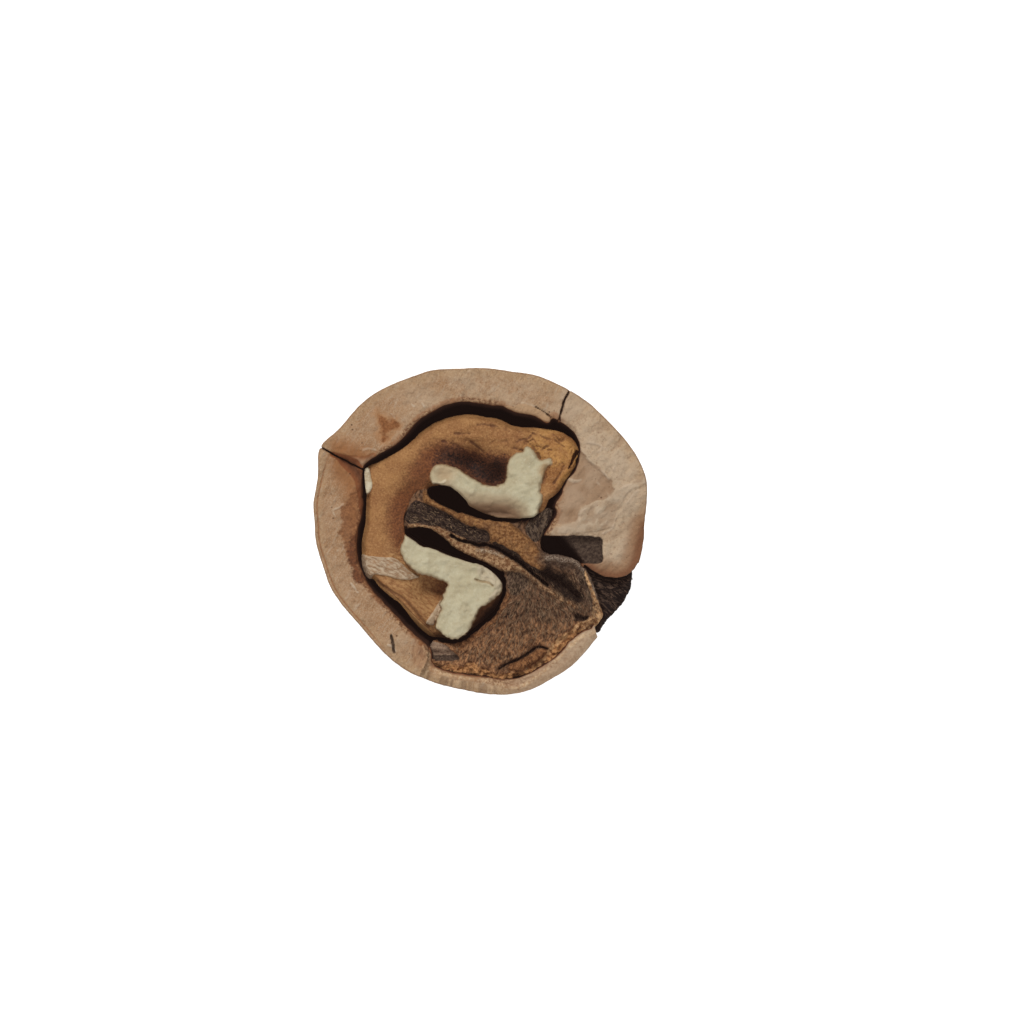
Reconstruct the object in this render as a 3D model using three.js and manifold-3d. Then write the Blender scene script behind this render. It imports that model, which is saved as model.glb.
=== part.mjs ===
// A cracked walnut: the lower half of a thick-shelled nut that broke across, standing on its round end.
// The shell is its two valves, parted along the suture. Inside them stand the kernel, a C-shaped seed with
// two broken lobes that rise as ridges, the papery septum between the lobes with its wide spongy foot, and
// the dark fibres that fill the suture. Points are in millimetres, X and Y in plan, Z up from the table.
import * as THREE from "three";
import { mergeVertices } from "three/addons/utils/BufferGeometryUtils.js";
import Module from "manifold-3d";

const wasm = await Module();
wasm.setup();

// Driving dimensions
const HALF_WIDTH = 18; // the nut's half width at its equator
const HALF_LENGTH = 19; // from its equator down to where its round end would be
const EQUATOR_Z = 18.5; // the round end is cut 0.5 mm short, so it stands on a flat spot
const GAP = 0.3; // left between neighbours
const SUTURE_BEARING = -27.5; // the plane that parts the valves, in degrees from +X
const KEEL_HEIGHT = 0.9; // the raised seam along the suture
const KEEL_REACH = 2;
const GROOVE_DEPTH = 0.6; // the net of wandering grooves on the outside
const GROOVES_AROUND = 9;
const GROOVE_RINGS_PER_MM = 0.1;
const SMOOTH_BASE_RADII = [3, 9]; // the grooves fade out between these, towards the flat spot
const SMOOTH_RIM_HEIGHTS = [14, 18.5]; // and between these heights, towards the broken rim
const CAVITY_CENTRE = [0.2, -0.9, EQUATOR_Z];
const CAVITY_HALF = [15.6, 15.5, 15.4];
const CRACK_WIDTH = 0.35;

// How far the shell stands from the nut's axis at the equator: bearing in degrees, radius
const RIM_RADII = [
  [0, 17.65],
  [20, 18.75],
  [45, 18.1],
  [68, 17.85],
  [80, 17.5],
  [95, 17.6],
  [110, 18.15],
  [133, 18.8],
  [150, 18.6],
  [168, 18.3],
  [180, 17.85],
  [196, 17.35],
  [220, 16.5],
  [245, 17.05],
  [258, 17.15],
  [285, 18],
  [300, 17.65],
  [320, 17],
  [340, 17.25],
];

// The cavity's outline at the broken rim, from the suture's inner end round by the back and the right
const CAVITY_OUTLINE = [
  [-12.9, 6.7],
  [-12.2, 7.7],
  [-10.5, 8.6],
  [-8.4, 10.3],
  [-7.1, 11.6],
  [-5.3, 13],
  [-3, 13.7],
  [-1, 13.8],
  [2, 13.6],
  [4.1, 12.9],
  [7.6, 11.9],
  [9.7, 10.8],
  [10.8, 9.2],
  [10.5, 7.2],
  [9.3, 5.6],
  [8, 3.9],
  [7.8, 2.9],
  [8.3, 2.1],
  [6.7, -0.7],
  [8.4, -2.6],
  [9.8, -3],
  [11, -3.7],
  [12, -5.5],
  [12.6, -8],
  [12.4, -10.6],
  [11.3, -11],
  [8, -13.7],
  [6.4, -14.5],
  [4.3, -16.4],
  [0.5, -16],
  [-2.9, -15.5],
  [-5.3, -14.6],
  [-5.7, -12.4],
  [-8, -9.9],
  [-10, -7.9],
  [-12, -5.7],
  [-13.1, -4.4],
  [-13.4, -2.5],
  [-13.4, 0],
  [-12.9, 2.4],
  [-12.9, 4.5],
];

// The kernel in plan: the C of its skin, from its upper left corner round by the back
const KERNEL_OUTLINE = [
  [-12.4, 6.6],
  [-11.2, 7.3],
  [-9, 8.3],
  [-7.4, 9.5],
  [-5.9, 11],
  [-4.3, 12],
  [-1.6, 12.6],
  [0.5, 12.5],
  [1.9, 12.1],
  [4.1, 11.3],
  [6.2, 11.2],
  [8.4, 10.7],
  [9.7, 9.9],
  [10.3, 8.7],
  [10, 7.4],
  [8.9, 5.9],
  [7.6, 4.1],
  [7.2, 3],
  [6.6, 2.1],
  [6, 1.7],
  [4.2, 1.7],
  [1, 1.7],
  [-1, 2.4],
  [-1.8, 3.5],
  [-2.9, 4.7],
  [-4.6, 4.9],
  [-5.4, 4.9],
  [-6.3, 4.4],
  [-7, 3.7],
  [-7.8, 2.5],
  [-8.1, 1.3],
  [-8.1, 0.5],
  [-8, -0.2],
  [-7.1, -0.9],
  [-6, -1.7],
  [-3.4, -2.4],
  [-1.7, -3.2],
  [0.1, -3.6],
  [1.8, -4.6],
  [2.3, -5.9],
  [1.2, -7.8],
  [-0.4, -9],
  [-1.2, -10.6],
  [-2.2, -11.4],
  [-3.2, -11.7],
  [-4.6, -11.3],
  [-5.5, -11.2],
  [-7.4, -9.6],
  [-8.8, -7.8],
  [-10.3, -6.7],
  [-11.6, -5.1],
  [-12.4, -4],
  [-12.8, -2.5],
  [-12.7, 0],
  [-12.4, 2.4],
  [-12.4, 4.4],
];

// The two broken lobes, which stand up out of the kernel's skin
const UPPER_FLESH = [
  [-5.4, 5.9],
  [-4.5, 7.2],
  [-3.4, 7.1],
  [-1.8, 6.7],
  [-0.8, 5.8],
  [0.5, 5],
  [2, 4.9],
  [2.7, 5.4],
  [2.8, 6.8],
  [3.4, 8.1],
  [4.7, 8.6],
  [5.3, 9],
  [6.4, 7.8],
  [7.7, 7.6],
  [6.8, 6.2],
  [6.9, 5],
  [6.6, 3.6],
  [6.5, 2.3],
  [6, 1.7],
  [4.2, 1.7],
  [1, 1.7],
  [-1, 2.4],
  [-1.8, 3.5],
  [-2.9, 4.7],
  [-4.6, 4.9],
];
const LOWER_FLESH = [
  [-8, -0.3],
  [-8.5, -1.4],
  [-8.4, -2.7],
  [-7.5, -4],
  [-6.2, -4.8],
  [-3.8, -5.6],
  [-4.4, -7.8],
  [-4.9, -10.4],
  [-4.5, -11],
  [-3.2, -11.6],
  [-2.2, -11.4],
  [-1.2, -10.6],
  [-0.4, -8.8],
  [1.2, -7.8],
  [2.3, -6.1],
  [1.8, -4.7],
  [0.1, -3.6],
  [-1.7, -3.2],
  [-3.4, -2.4],
  [-6, -1.7],
  [-7.1, -0.9],
];

// The papery flake of skin that lies across the kernel's lower lobe, up to its edge
const SKIN_FLAKE = [
  [-12.6, -2.6],
  [-10.2, -2.8],
  [-9.4, -2.5],
  [-8.6, -3],
  [-7.3, -4.6],
  [-8.4, -5.2],
  [-10, -4.8],
  [-11.3, -4.7],
  [-12.3, -4.1],
];

// The septum in plan: a band between the lobes that widens into a spongy foot at the lower right
const SEPTUM_OUTLINE = [
  [-5.9, 4],
  [-5.1, 3.4],
  [-4.3, 2.7],
  [-2.2, 2],
  [-0.4, 1.6],
  [1.3, 1.1],
  [3.8, 0.9],
  [5.4, 1.1],
  [6.6, 1.5],
  [7.2, 2.2],
  [7.7, 1.9],
  [6.2, -0.8],
  [7.9, -3],
  [9.7, -3.3],
  [10.9, -4.1],
  [11.8, -5.7],
  [12.6, -7.5],
  [13, -9.1],
  [12.6, -10.2],
  [11.2, -10.6],
  [7.7, -13.2],
  [6.1, -14],
  [4.1, -15.8],
  [0.5, -15.5],
  [-2.8, -15],
  [-4.8, -14.1],
  [-4.9, -12.5],
  [-3.2, -12.2],
  [-1.9, -12],
  [-0.7, -11.1],
  [1.3, -9.1],
  [2.5, -7.6],
  [2.8, -6.3],
  [2.7, -4.8],
  [1.3, -3.7],
  [-1, -2.6],
  [-3.4, -1.3],
  [-4.5, -0.4],
  [-5.9, 0.4],
  [-7.1, 0.6],
  [-7.6, 0.9],
  [-7.4, 2.2],
  [-6.6, 3.4],
];

// Where the shell is open at the lower right suture, and the fibres that fill it
const NOTCH_OUTLINE = [
  [11, -3.9],
  [11.9, -4.4],
  [13.8, -5],
  [15.6, -5],
  [16.7, -4.3],
  [19, -3.6],
  [20, -6],
  [17, -12],
  [13, -12],
  [12.2, -10.9],
  [11.6, -7.6],
];
const FIBRES_OUTLINE = [
  [11.7, -4.7],
  [12.8, -5.1],
  [13.7, -5.5],
  [15.7, -5.5],
  [16.9, -4.9],
  [16.4, -5.9],
  [15.6, -8],
  [14.3, -9.3],
  [13, -11],
  [13.1, -10.2],
  [13.4, -9],
  [13, -7.4],
  [12.2, -5.6],
];
const NOTCH_FLOOR_Z = 9;
const FLAKE_HEIGHTS = [16, 19.7];

// The dark hollow broken out of the shell's thick right side
const SHELL_PIT = [
  [6.2, -0.5],
  [8.4, -0.9],
  [10.8, -0.6],
  [12.9, -0.6],
  [13.4, -1.8],
  [13, -3.1],
  [11.2, -3.7],
  [8.8, -3.8],
];
const SHELL_PIT_FLOOR_Z = 17.4;

// The front stretch of rim, which broke lower than the rest, from the left break round to the right one
const LOW_RIM = [
  [-4.8, -12.2],
  [-5, -14.4],
  [-6.2, -16.4],
  [-6.6, -19.5],
  [15, -19.5],
  [15, -11.2],
  [12, -10.4],
  [4, -11],
];
const LOW_RIM_Z = 19.1;

// Open cracks in the shell's plan, each a route from outside to inside, and the height it runs down to
const CRACKS = [
  { route: [[10.2, 16.6], [9.3, 14.4], [8.8, 13.4], [8.4, 11.4]], foot: 8 },
  { route: [[-6.8, -18.4], [-6.1, -16.4], [-4.9, -14.4], [-4.7, -11.6]], foot: 11 },
];

// Heights of the broken tops: a level, then swells and dips. A swell is a line from one point to another,
// the height there and how far it reaches to each side.
const RIM_TOP = {
  level: 20,
  swells: [
    { from: [-17, 9.5], to: [-13, 8], height: 0.5, reach: 3 },
    { from: [-4, 17], to: [4, 17], height: 0.3, reach: 5 },
    { from: [-17, 3], to: [-16, -5], height: -0.3, reach: 4 },
    { from: [15, -4], to: [17, -1], height: -0.8, reach: 4 },
    { from: [12, 10], to: [10, 3], height: 0.35, reach: 3 },
    { from: [-10, -12], to: [-7, -15], height: 0.3, reach: 3 },
  ],
};
const KERNEL_TOP = {
  level: 19,
  swells: [
    { from: [-10.5, 4.5], to: [-10.5, -1], height: 0.5, reach: 3 },
    { from: [-5, 10.5], to: [3, 10.8], height: 0.3, reach: 2 },
    { from: [8, 8.8], to: [8.6, 6.6], height: 0.5, reach: 2 },
    { from: [-1.5, 8.2], to: [1.5, 6.6], height: -2.4, reach: 2.2 },
    { from: [-6, 2.4], to: [-7.5, 4], height: -0.7, reach: 2 },
    { from: [-6.5, -6], to: [-5, -8], height: -2, reach: 1.9 },
  ],
};
const FLESH_TOP = {
  level: 19.5,
  swells: [
    { from: [4.6, 7.5], to: [5.4, 4], height: 0.5, reach: 1.8 },
    { from: [-5, 6], to: [-4, 6], height: -0.5, reach: 1.5 },
    { from: [-3, -8], to: [-3, -10], height: 0.3, reach: 2 },
  ],
};
const SEPTUM_TOP = {
  level: 18.5,
  swells: [
    { from: [-5, 2], to: [0, -0.2], height: -0.6, reach: 0.9 },
    { from: [-4.5, 2.4], to: [6.2, -3.2], height: 0.6, reach: 1 },
    { from: [5.4, -3.8], to: [11, -7.6], height: -1.9, reach: 1.5 },
    { from: [11.6, -5.2], to: [12.3, -9], height: 0.6, reach: 0.8 },
    { from: [0, -12], to: [7, -8], height: -0.4, reach: 2.4 },
    { from: [-3, -14.4], to: [8, -12.2], height: 0.4, reach: 1 },
  ],
};
const FIBRES_TOP = {
  level: 18.2,
  swells: [{ from: [17, -6], to: [14, -10], height: -1.2, reach: 2 }],
};

// How finely round and broken surfaces are divided
const ROUND_STEPS = 96;
const UP_STEPS = 34;
const CAVITY_ROUND_STEPS = 56;
const CAVITY_UP_STEPS = 24;
const RIM_CELL = 1.6;
const KERNEL_CELL = 0.9;
const SEPTUM_CELL = 0.65;
const FAR = 26; // beyond every side of the nut

const radians = THREE.MathUtils.degToRad;

// A smooth value at any bearing, from a ring of [bearing, value] pairs
function valueAtBearing(ring, degrees) {
  const bearing = THREE.MathUtils.euclideanModulo(degrees, 360);
  const next = ring.findIndex(([at]) => at > bearing);
  const [toBearing, toValue] = next < 0 ? [360, ring[0][1]] : ring[next];
  const [fromBearing, fromValue] = ring[next < 0 ? ring.length - 1 : next - 1];
  const share = THREE.MathUtils.smoothstep(bearing, fromBearing, toBearing);
  return THREE.MathUtils.lerp(fromValue, toValue, share);
}

// The net of grooves on the shell, from 0 between them to 1 in them: lines that run down the nut and wander.
// The height is from where the nut stands.
function grooves(x, y, z) {
  const bearing = Math.atan2(y, x);
  const wander = 1.5 * Math.sin(0.32 * z + 2 * bearing) + 0.8 * Math.sin(0.75 * z - 5 * bearing + 1);
  const down = Math.sin(GROOVES_AROUND * bearing + wander);
  const rings = 2 * Math.PI * GROOVE_RINGS_PER_MM * z;
  const across = Math.sin(rings + 1.7 * Math.sin(4 * bearing + 0.4 * z) + bearing);
  const line = (wave, width) => Math.exp(-((wave / width) ** 2));
  const belowRim = 1 - THREE.MathUtils.smoothstep(z, ...SMOOTH_RIM_HEIGHTS);
  const fade = belowRim * THREE.MathUtils.smoothstep(Math.hypot(x, y), ...SMOOTH_BASE_RADII);
  return fade * Math.max(line(down, 0.4), 0.6 * line(across, 0.3));
}

// How far the outside of the shell lies from the nut's centre, in a direction from it
function shellRadius(direction) {
  const level = Math.hypot(direction.x, direction.y);
  const round = 1 / Math.hypot(level / HALF_WIDTH, direction.z / HALF_LENGTH);
  const bearing = THREE.MathUtils.radToDeg(Math.atan2(direction.y, direction.x));
  const outline = 1 + (valueAtBearing(RIM_RADII, bearing) / HALF_WIDTH - 1) * level ** 2;
  const suture = radians(SUTURE_BEARING);
  const offSuture = round * (direction.y * Math.cos(suture) - direction.x * Math.sin(suture));
  const keel = KEEL_HEIGHT * level * Math.exp(-((offSuture / KEEL_REACH) ** 2));
  const point = direction.clone().multiplyScalar(round);
  return round * outline + keel - GROOVE_DEPTH * grooves(point.x, point.y, point.z + EQUATOR_Z);
}

// The height of a broken top at a point in plan
function heightAt(top, x, y) {
  return top.swells.reduce((height, { from, to, height: rise, reach }) => {
    const [dx, dy] = [to[0] - from[0], to[1] - from[1]];
    const along = ((x - from[0]) * dx + (y - from[1]) * dy) / (dx * dx + dy * dy);
    const t = THREE.MathUtils.clamp(along, 0, 1);
    const off = Math.hypot(x - from[0] - t * dx, y - from[1] - t * dy);
    return height + rise * Math.exp(-((off / reach) ** 2));
  }, top.level);
}

// A closed geometry as a solid that can be cut and joined
function solidOf(geometry) {
  const bare = geometry.clone();
  bare.deleteAttribute("normal");
  bare.deleteAttribute("uv");
  const merged = mergeVertices(bare, 1e-4);
  return new wasm.Manifold(
    new wasm.Mesh({
      numProp: 3,
      vertProperties: merged.attributes.position.array,
      triVerts: new Uint32Array(merged.index.array),
    }),
  );
}

// A smooth closed outline, stood up from one height to another
function prism(points, low, high, steps = 2 * points.length) {
  const curve = new THREE.CatmullRomCurve3(
    points.map(([x, y]) => new THREE.Vector3(x, y, 0)),
    true,
    "centripetal",
  );
  const rounded = curve.getSpacedPoints(steps).slice(0, -1);
  return straightPrism(rounded.map((p) => [p.x, p.y]), low, high);
}

// An outline of straight sides, stood up from one height to another
function straightPrism(points, low, high) {
  const shape = new THREE.Shape(points.map(([x, y]) => new THREE.Vector2(x, y)));
  const geometry = new THREE.ExtrudeGeometry(shape, { depth: high - low, bevelEnabled: false });
  return solidOf(geometry.translate(0, 0, low));
}

// Everything from far below up to a broken top
function groundBelow(top, cell, low = -1) {
  const cells = Math.round((2 * FAR) / cell);
  const block = new THREE.BoxGeometry(2 * FAR, 2 * FAR, 2, cells, cells, 1);
  const position = block.attributes.position;
  for (let i = 0; i < position.count; i++) {
    const [x, y, z] = [position.getX(i), position.getY(i), position.getZ(i)];
    position.setZ(i, z > 0 ? heightAt(top, x, y) : low);
  }
  return solidOf(block);
}

// A ball whose surface lies where a function of direction puts it
function shapedBall(aroundSteps, upSteps, centre, radiusIn) {
  const ball = new THREE.SphereGeometry(1, aroundSteps, upSteps).rotateX(Math.PI / 2);
  const position = ball.attributes.position;
  const direction = new THREE.Vector3();
  for (let i = 0; i < position.count; i++) {
    direction.fromBufferAttribute(position, i).normalize();
    const point = direction.clone().multiplyScalar(radiusIn(direction));
    position.setXYZ(i, point.x + centre[0], point.y + centre[1], point.z + centre[2]);
  }
  return solidOf(ball);
}

// The cavity's round floor, drawn in by a gap for what stands in it
function cavityBall(drawnIn) {
  const [a, b, c] = CAVITY_HALF.map((half) => half - drawnIn);
  const radiusIn = (d) => 1 / Math.hypot(d.x / a, d.y / b, d.z / c);
  return shapedBall(CAVITY_ROUND_STEPS, CAVITY_UP_STEPS, CAVITY_CENTRE, radiusIn);
}

// A crack: a thin upright slot along its route, down to its foot
function crackSlot({ route, foot }) {
  const across = route.map(([x, y], i) => {
    const before = route[Math.max(i - 1, 0)];
    const after = route[Math.min(i + 1, route.length - 1)];
    const along = new THREE.Vector2(after[0] - before[0], after[1] - before[1]).normalize();
    return new THREE.Vector2(-along.y, along.x).multiplyScalar(CRACK_WIDTH / 2);
  });
  const left = route.map(([x, y], i) => [x + across[i].x, y + across[i].y]);
  const right = route.map(([x, y], i) => [x - across[i].x, y - across[i].y]);
  return straightPrism([...left, ...right.reverse()], foot, FAR);
}

// Half of all space, on one side of the suture and clear of it by half the gap
function besideSuture(side) {
  const half = new THREE.BoxGeometry(4 * FAR, 2 * FAR, 4 * FAR);
  half.translate(0, side * (FAR + GAP / 2), 0).rotateZ(radians(SUTURE_BEARING));
  return solidOf(half);
}

// The whole outside of the nut, cut flat where it stands
function wholeNut() {
  const nut = shapedBall(ROUND_STEPS, UP_STEPS, [0, 0, EQUATOR_Z], shellRadius);
  const aboveFloor = solidOf(new THREE.BoxGeometry(4 * FAR, 4 * FAR, 4 * FAR).translate(0, 0, 2 * FAR));
  return nut.intersect(aboveFloor);
}

function makeShell(nut) {
  let shell = nut.intersect(groundBelow(RIM_TOP, RIM_CELL));
  shell = shell.subtract(prism(CAVITY_OUTLINE, -1, FAR).intersect(cavityBall(0)));
  shell = shell.subtract(straightPrism(LOW_RIM, LOW_RIM_Z, FAR));
  shell = shell.subtract(prism(SHELL_PIT, SHELL_PIT_FLOOR_Z, FAR));
  shell = shell.subtract(prism(NOTCH_OUTLINE, NOTCH_FLOOR_Z, FAR));
  return CRACKS.reduce((body, crack) => body.subtract(crackSlot(crack)), shell);
}

function makeKernel() {
  const skin = prism(KERNEL_OUTLINE, 0, FAR).intersect(groundBelow(KERNEL_TOP, KERNEL_CELL));
  const fleshGround = groundBelow(FLESH_TOP, KERNEL_CELL);
  const upper = prism(UPPER_FLESH, 0, FAR).intersect(fleshGround);
  const lower = prism(LOWER_FLESH, 0, FAR).intersect(fleshGround);
  const flake = prism(SKIN_FLAKE, ...FLAKE_HEIGHTS);
  return skin.add(upper).add(lower).add(flake).intersect(cavityBall(GAP));
}

function makeSeptum() {
  const septum = prism(SEPTUM_OUTLINE, 0, FAR).intersect(groundBelow(SEPTUM_TOP, SEPTUM_CELL));
  return septum.intersect(cavityBall(GAP));
}

function makeSutureFibres(nut) {
  const fibres = prism(FIBRES_OUTLINE, NOTCH_FLOOR_Z + GAP, FAR);
  return fibres.intersect(groundBelow(FIBRES_TOP, KERNEL_CELL)).intersect(nut);
}

// A named mesh of a solid, in its own material
function pieceMesh(name, solid, color, roughness) {
  const { vertProperties, triVerts } = solid.getMesh();
  const geometry = new THREE.BufferGeometry();
  geometry.setAttribute("position", new THREE.BufferAttribute(vertProperties, 3));
  geometry.setIndex(new THREE.BufferAttribute(triVerts, 1));
  geometry.computeVertexNormals();
  const mesh = new THREE.Mesh(geometry, new THREE.MeshStandardMaterial({ color, roughness, metalness: 0 }));
  mesh.name = name;
  return mesh;
}

const nut = wholeNut();
const shell = makeShell(nut);
const walnut = new THREE.Group();
walnut.add(
  pieceMesh("shell_valve_back", shell.intersect(besideSuture(1)), "#b08c68", 0.75),
  pieceMesh("shell_valve_front", shell.intersect(besideSuture(-1)), "#a98460", 0.75),
  pieceMesh("kernel", makeKernel(), "#9a6a3c", 0.6),
  pieceMesh("septum", makeSeptum(), "#6b5140", 0.9),
  pieceMesh("suture_fibres", makeSutureFibres(nut), "#2a1e19", 0.95),
);

export default walnut;
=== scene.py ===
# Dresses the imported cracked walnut: the two valves of its shell, the broken seed, the spongy partition
# between the lobes and the dark fibres in the suture. Each piece is drawn in plan, as heights and zones on
# one grid, and meshed as a solid. Plan outlines are in millimetres, with X to the right and Y away.
import math
from types import SimpleNamespace

import bpy
import numpy as np
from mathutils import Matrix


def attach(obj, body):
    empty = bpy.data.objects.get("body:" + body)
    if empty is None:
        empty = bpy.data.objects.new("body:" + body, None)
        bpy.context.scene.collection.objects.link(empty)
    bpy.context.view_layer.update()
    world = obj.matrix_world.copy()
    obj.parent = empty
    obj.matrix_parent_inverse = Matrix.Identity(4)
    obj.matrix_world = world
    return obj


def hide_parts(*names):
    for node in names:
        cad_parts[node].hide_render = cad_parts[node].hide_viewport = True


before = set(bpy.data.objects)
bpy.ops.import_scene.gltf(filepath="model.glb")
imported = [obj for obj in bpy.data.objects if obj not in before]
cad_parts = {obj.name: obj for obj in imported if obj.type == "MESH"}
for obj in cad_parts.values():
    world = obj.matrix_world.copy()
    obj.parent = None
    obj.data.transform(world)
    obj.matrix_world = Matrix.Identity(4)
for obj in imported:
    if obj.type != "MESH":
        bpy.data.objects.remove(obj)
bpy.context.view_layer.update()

# The nut's driving sizes, in millimetres, as in the part
MM = 0.001
HALF_WIDTH = 18.0
HALF_LENGTH = 19.0
EQUATOR_Z = 18.5
SUTURE_BEARING = math.radians(-27.5)
KEEL_HEIGHT = 0.9
KEEL_REACH = 2.0
GROOVE_DEPTH = 0.6
GROOVES_AROUND = 9
GROOVE_RINGS_PER_MM = 0.1
SMOOTH_BASE_RADII = (3.0, 9.0)
SMOOTH_RIM_HEIGHTS = (14.0, 18.5)
CAVITY_CENTRE = (0.2, -0.9, EQUATOR_Z)
CAVITY_HALF = (15.6, 15.5, 15.4)
WALL_LEDGE = 0.32  # how far the rim's inner edge hangs over the cavity's wall
GAP = 0.3
SEPTUM_GAP = 0.1

# How high the pieces and their parts stand above the table
RIM_Z = 20.0
FRONT_RIM_Z = 19.1
NOTCH_FLOOR_Z = 9.0
PIT_SILL_Z = 18.9
SKIN_Z = 19.4
FLESH_Z = 19.65
WHITE_CORNER_Z = 19.5
PACKING_Z = 18.3
UPPER_BAND_Z = 17.9
LOWER_BAND_Z = 18.75
WING_Z = 18.2
FACET_Z = 18.1
SEPTUM_TOP_Z = 19.7
FIBRES_Z = 18.35

# How deep the breaks, gaps and falls go
PIT_DEPTH = 4.4
CRACK_DEPTH = 1.8
SCAR_DEPTH = 0.5
SPLIT_DEPTH = 0.8
FLESH_FALL = 2.8
SLIT_DEPTH = 1.7
VALLEY_DEPTH = 2.6
LEDGE_DEPTH = 0.9
HOLE_DEPTH = 1.1

# How finely the pieces are meshed
PLAN_HALF = 19.8
STEP = 0.12
FINE_FROM_Z = 15.0
COARSE_STEP = 0.34
MOST_TRIANGLES = 190_000
SEPTUM_TRIANGLES = 125_000
FIBRES_TRIANGLES = 100_000
STRAND_RINGS = 7
NOISE_CELLS = 32  # the random values of a noise repeat after these
SEED_SHIFT = 0.37  # how many cells a noise moves along for each step of its seed
FLAT_FOOT_Z = 0.3  # the weathered skin starts above this, so that the nut stands flat

# Camera and light
PHOTO_WIDTH = 1024
MM_PER_PIXEL = 0.1075
NUT_CENTRE_PIXEL = (480.5, 531.0)
LENS = 100.0
SENSOR = 36.0
TABLE_WIDTH = 3000.0
LIGHT = 1.25  # how much brighter than its own colour a level white surface shows
ROOM_LIGHT = 0.6
# Each lamp's name, strength, turn in degrees and spread in degrees
LAMPS = [("key from the back", 2.3, (-40, 0, 12), 16), ("fill from the front", 0.5, (45, 0, -20), 60)]

# How far the shell stands from the nut's axis at the equator: bearing in degrees, radius
RIM_RADII = [
    (0, 17.65), (20, 18.75), (45, 18.1), (68, 17.85), (80, 17.5), (95, 17.6), (110, 18.15), (133, 18.8),
    (150, 18.6), (168, 18.3), (180, 17.85), (196, 17.35), (220, 16.5), (245, 17.05), (258, 17.15),
    (285, 18), (300, 17.65), (320, 17.0), (340, 17.25),
]

# The cavity at the broken rim, from the suture's inner end round by the back and the right
CAVITY = [
    (-12.75, 6.9), (-12.3, 7.4), (-11.6, 7.85), (-11.1, 8.2), (-10.3, 8.6), (-9.5, 9.1), (-9, 9.4),
    (-8.3, 10.1), (-7.8, 10.7), (-7.3, 11.4), (-6.6, 12), (-5.9, 12.5), (-5.2, 12.9), (-4.5, 13.25),
    (-3.8, 13.6), (-3, 13.8), (-2.2, 14), (-1.4, 14), (-0.7, 13.8), (0.8, 13.65), (2.3, 13.5), (2.9, 13.2),
    (3.7, 12.8), (4.5, 12.65), (5.4, 12.5), (6.2, 12.2), (6.8, 11.8), (7.4, 11.65), (7.55, 12.1),
    (7.9, 12.25), (8.3, 12.1), (9, 11.7), (9.7, 11.3), (10.2, 10.75), (10.5, 10.1), (10.7, 9.5),
    (10.75, 8.6), (10.6, 7.5), (10.45, 6.9), (9.9, 6.1), (9.35, 5.35), (9, 4.7), (8.7, 3.9), (7.95, 2.8),
    (8.3, 2), (7.9, 1.3), (7.4, 0.4), (6.9, -0.5), (7, -1.8), (8.2, -2.6), (9.8, -3), (11, -3.7),
    (12, -5.5), (12.6, -8), (12.4, -10.6), (11.3, -10.9), (10.3, -11.5), (8, -14), (6.2, -15.2),
    (4.9, -16.2), (4.1, -16.7), (2.8, -16.5), (0.8, -15.95), (-2.4, -15.65), (-4, -15.2), (-5.4, -14.6),
    (-5.5, -12.5), (-6.9, -11.4), (-7.9, -10.5), (-9, -9.3), (-10.3, -7.9), (-11.6, -6.6), (-12.5, -5.3),
    (-13.15, -3.8), (-13.5, -2.1), (-13.4, -0.6), (-13.15, 0.7), (-12.9, 1.7), (-12.9, 4.5),
]

# The kernel in plan, from its upper left corner round by the back
KERNEL = [
    (-12.5, 6.7), (-11.9, 7.1), (-11.1, 7.4), (-9.8, 8.1), (-8.6, 8.7), (-7.7, 9.4), (-6.9, 10.3),
    (-5.9, 11.15), (-4.8, 11.8), (-3.5, 12.3), (-2.1, 12.6), (-0.5, 12.55), (0.4, 12.35), (1.75, 12.15),
    (2.65, 11.8), (3.4, 11.4), (4.5, 11.15), (5.6, 11.2), (6.7, 11.1), (7.7, 10.95), (8.6, 10.7),
    (9.4, 10.3), (10.05, 9.8), (10.5, 9.1), (10.65, 8.5), (10.3, 7.6), (10.25, 7.0), (9.75, 6.2),
    (9.15, 5.35), (8.6, 4.45), (8.05, 3.85), (7.4, 3.4), (7.15, 2.8), (6.7, 2.1), (6.2, 1.85), (5.8, 1.5),
    (5.1, 1.4), (4.1, 1.35), (3.2, 1.4), (2.1, 1.4), (1.2, 1.65), (0.2, 2), (-1.15, 2.6), (-1.55, 3.2),
    (-2.1, 3.8), (-2.6, 4.3), (-3.25, 4.8), (-3.8, 4.95), (-4.7, 4.95), (-5.6, 4.8), (-5.85, 4.4),
    (-6.6, 4.1), (-7.3, 3.6), (-7.85, 2.5), (-8.35, 1.6), (-8.3, 0.95), (-8.25, 0.3), (-8.2, -0.43),
    (-7.4, -0.9), (-6.4, -1.7), (-5.3, -1.85), (-3.8, -2.5), (-2.5, -3), (-1.2, -3.4), (0, -3.6),
    (0.8, -4.1), (1.75, -4.85), (2.3, -5.6), (2.45, -6.4), (2.15, -7.4), (1.55, -8.7), (0.55, -9.6),
    (-0.5, -10.4), (-1.15, -11), (-1.8, -11.6), (-2.6, -11.9), (-3.4, -11.9), (-4, -11.7), (-4.8, -11.6),
    (-5.5, -11.5), (-6.4, -10.7), (-7.4, -9.65), (-8.1, -8.6), (-8.7, -7.85), (-9.6, -7.2), (-10.9, -6.15),
    (-11.6, -5.1), (-12, -5.3), (-12.5, -4.65), (-12.85, -3.5), (-12.85, -1.15), (-12.5, 0.4), (-12.4, 1.7),
    (-12.4, 2.6), (-12.3, 3.9), (-12.45, 5.3),
]
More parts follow.
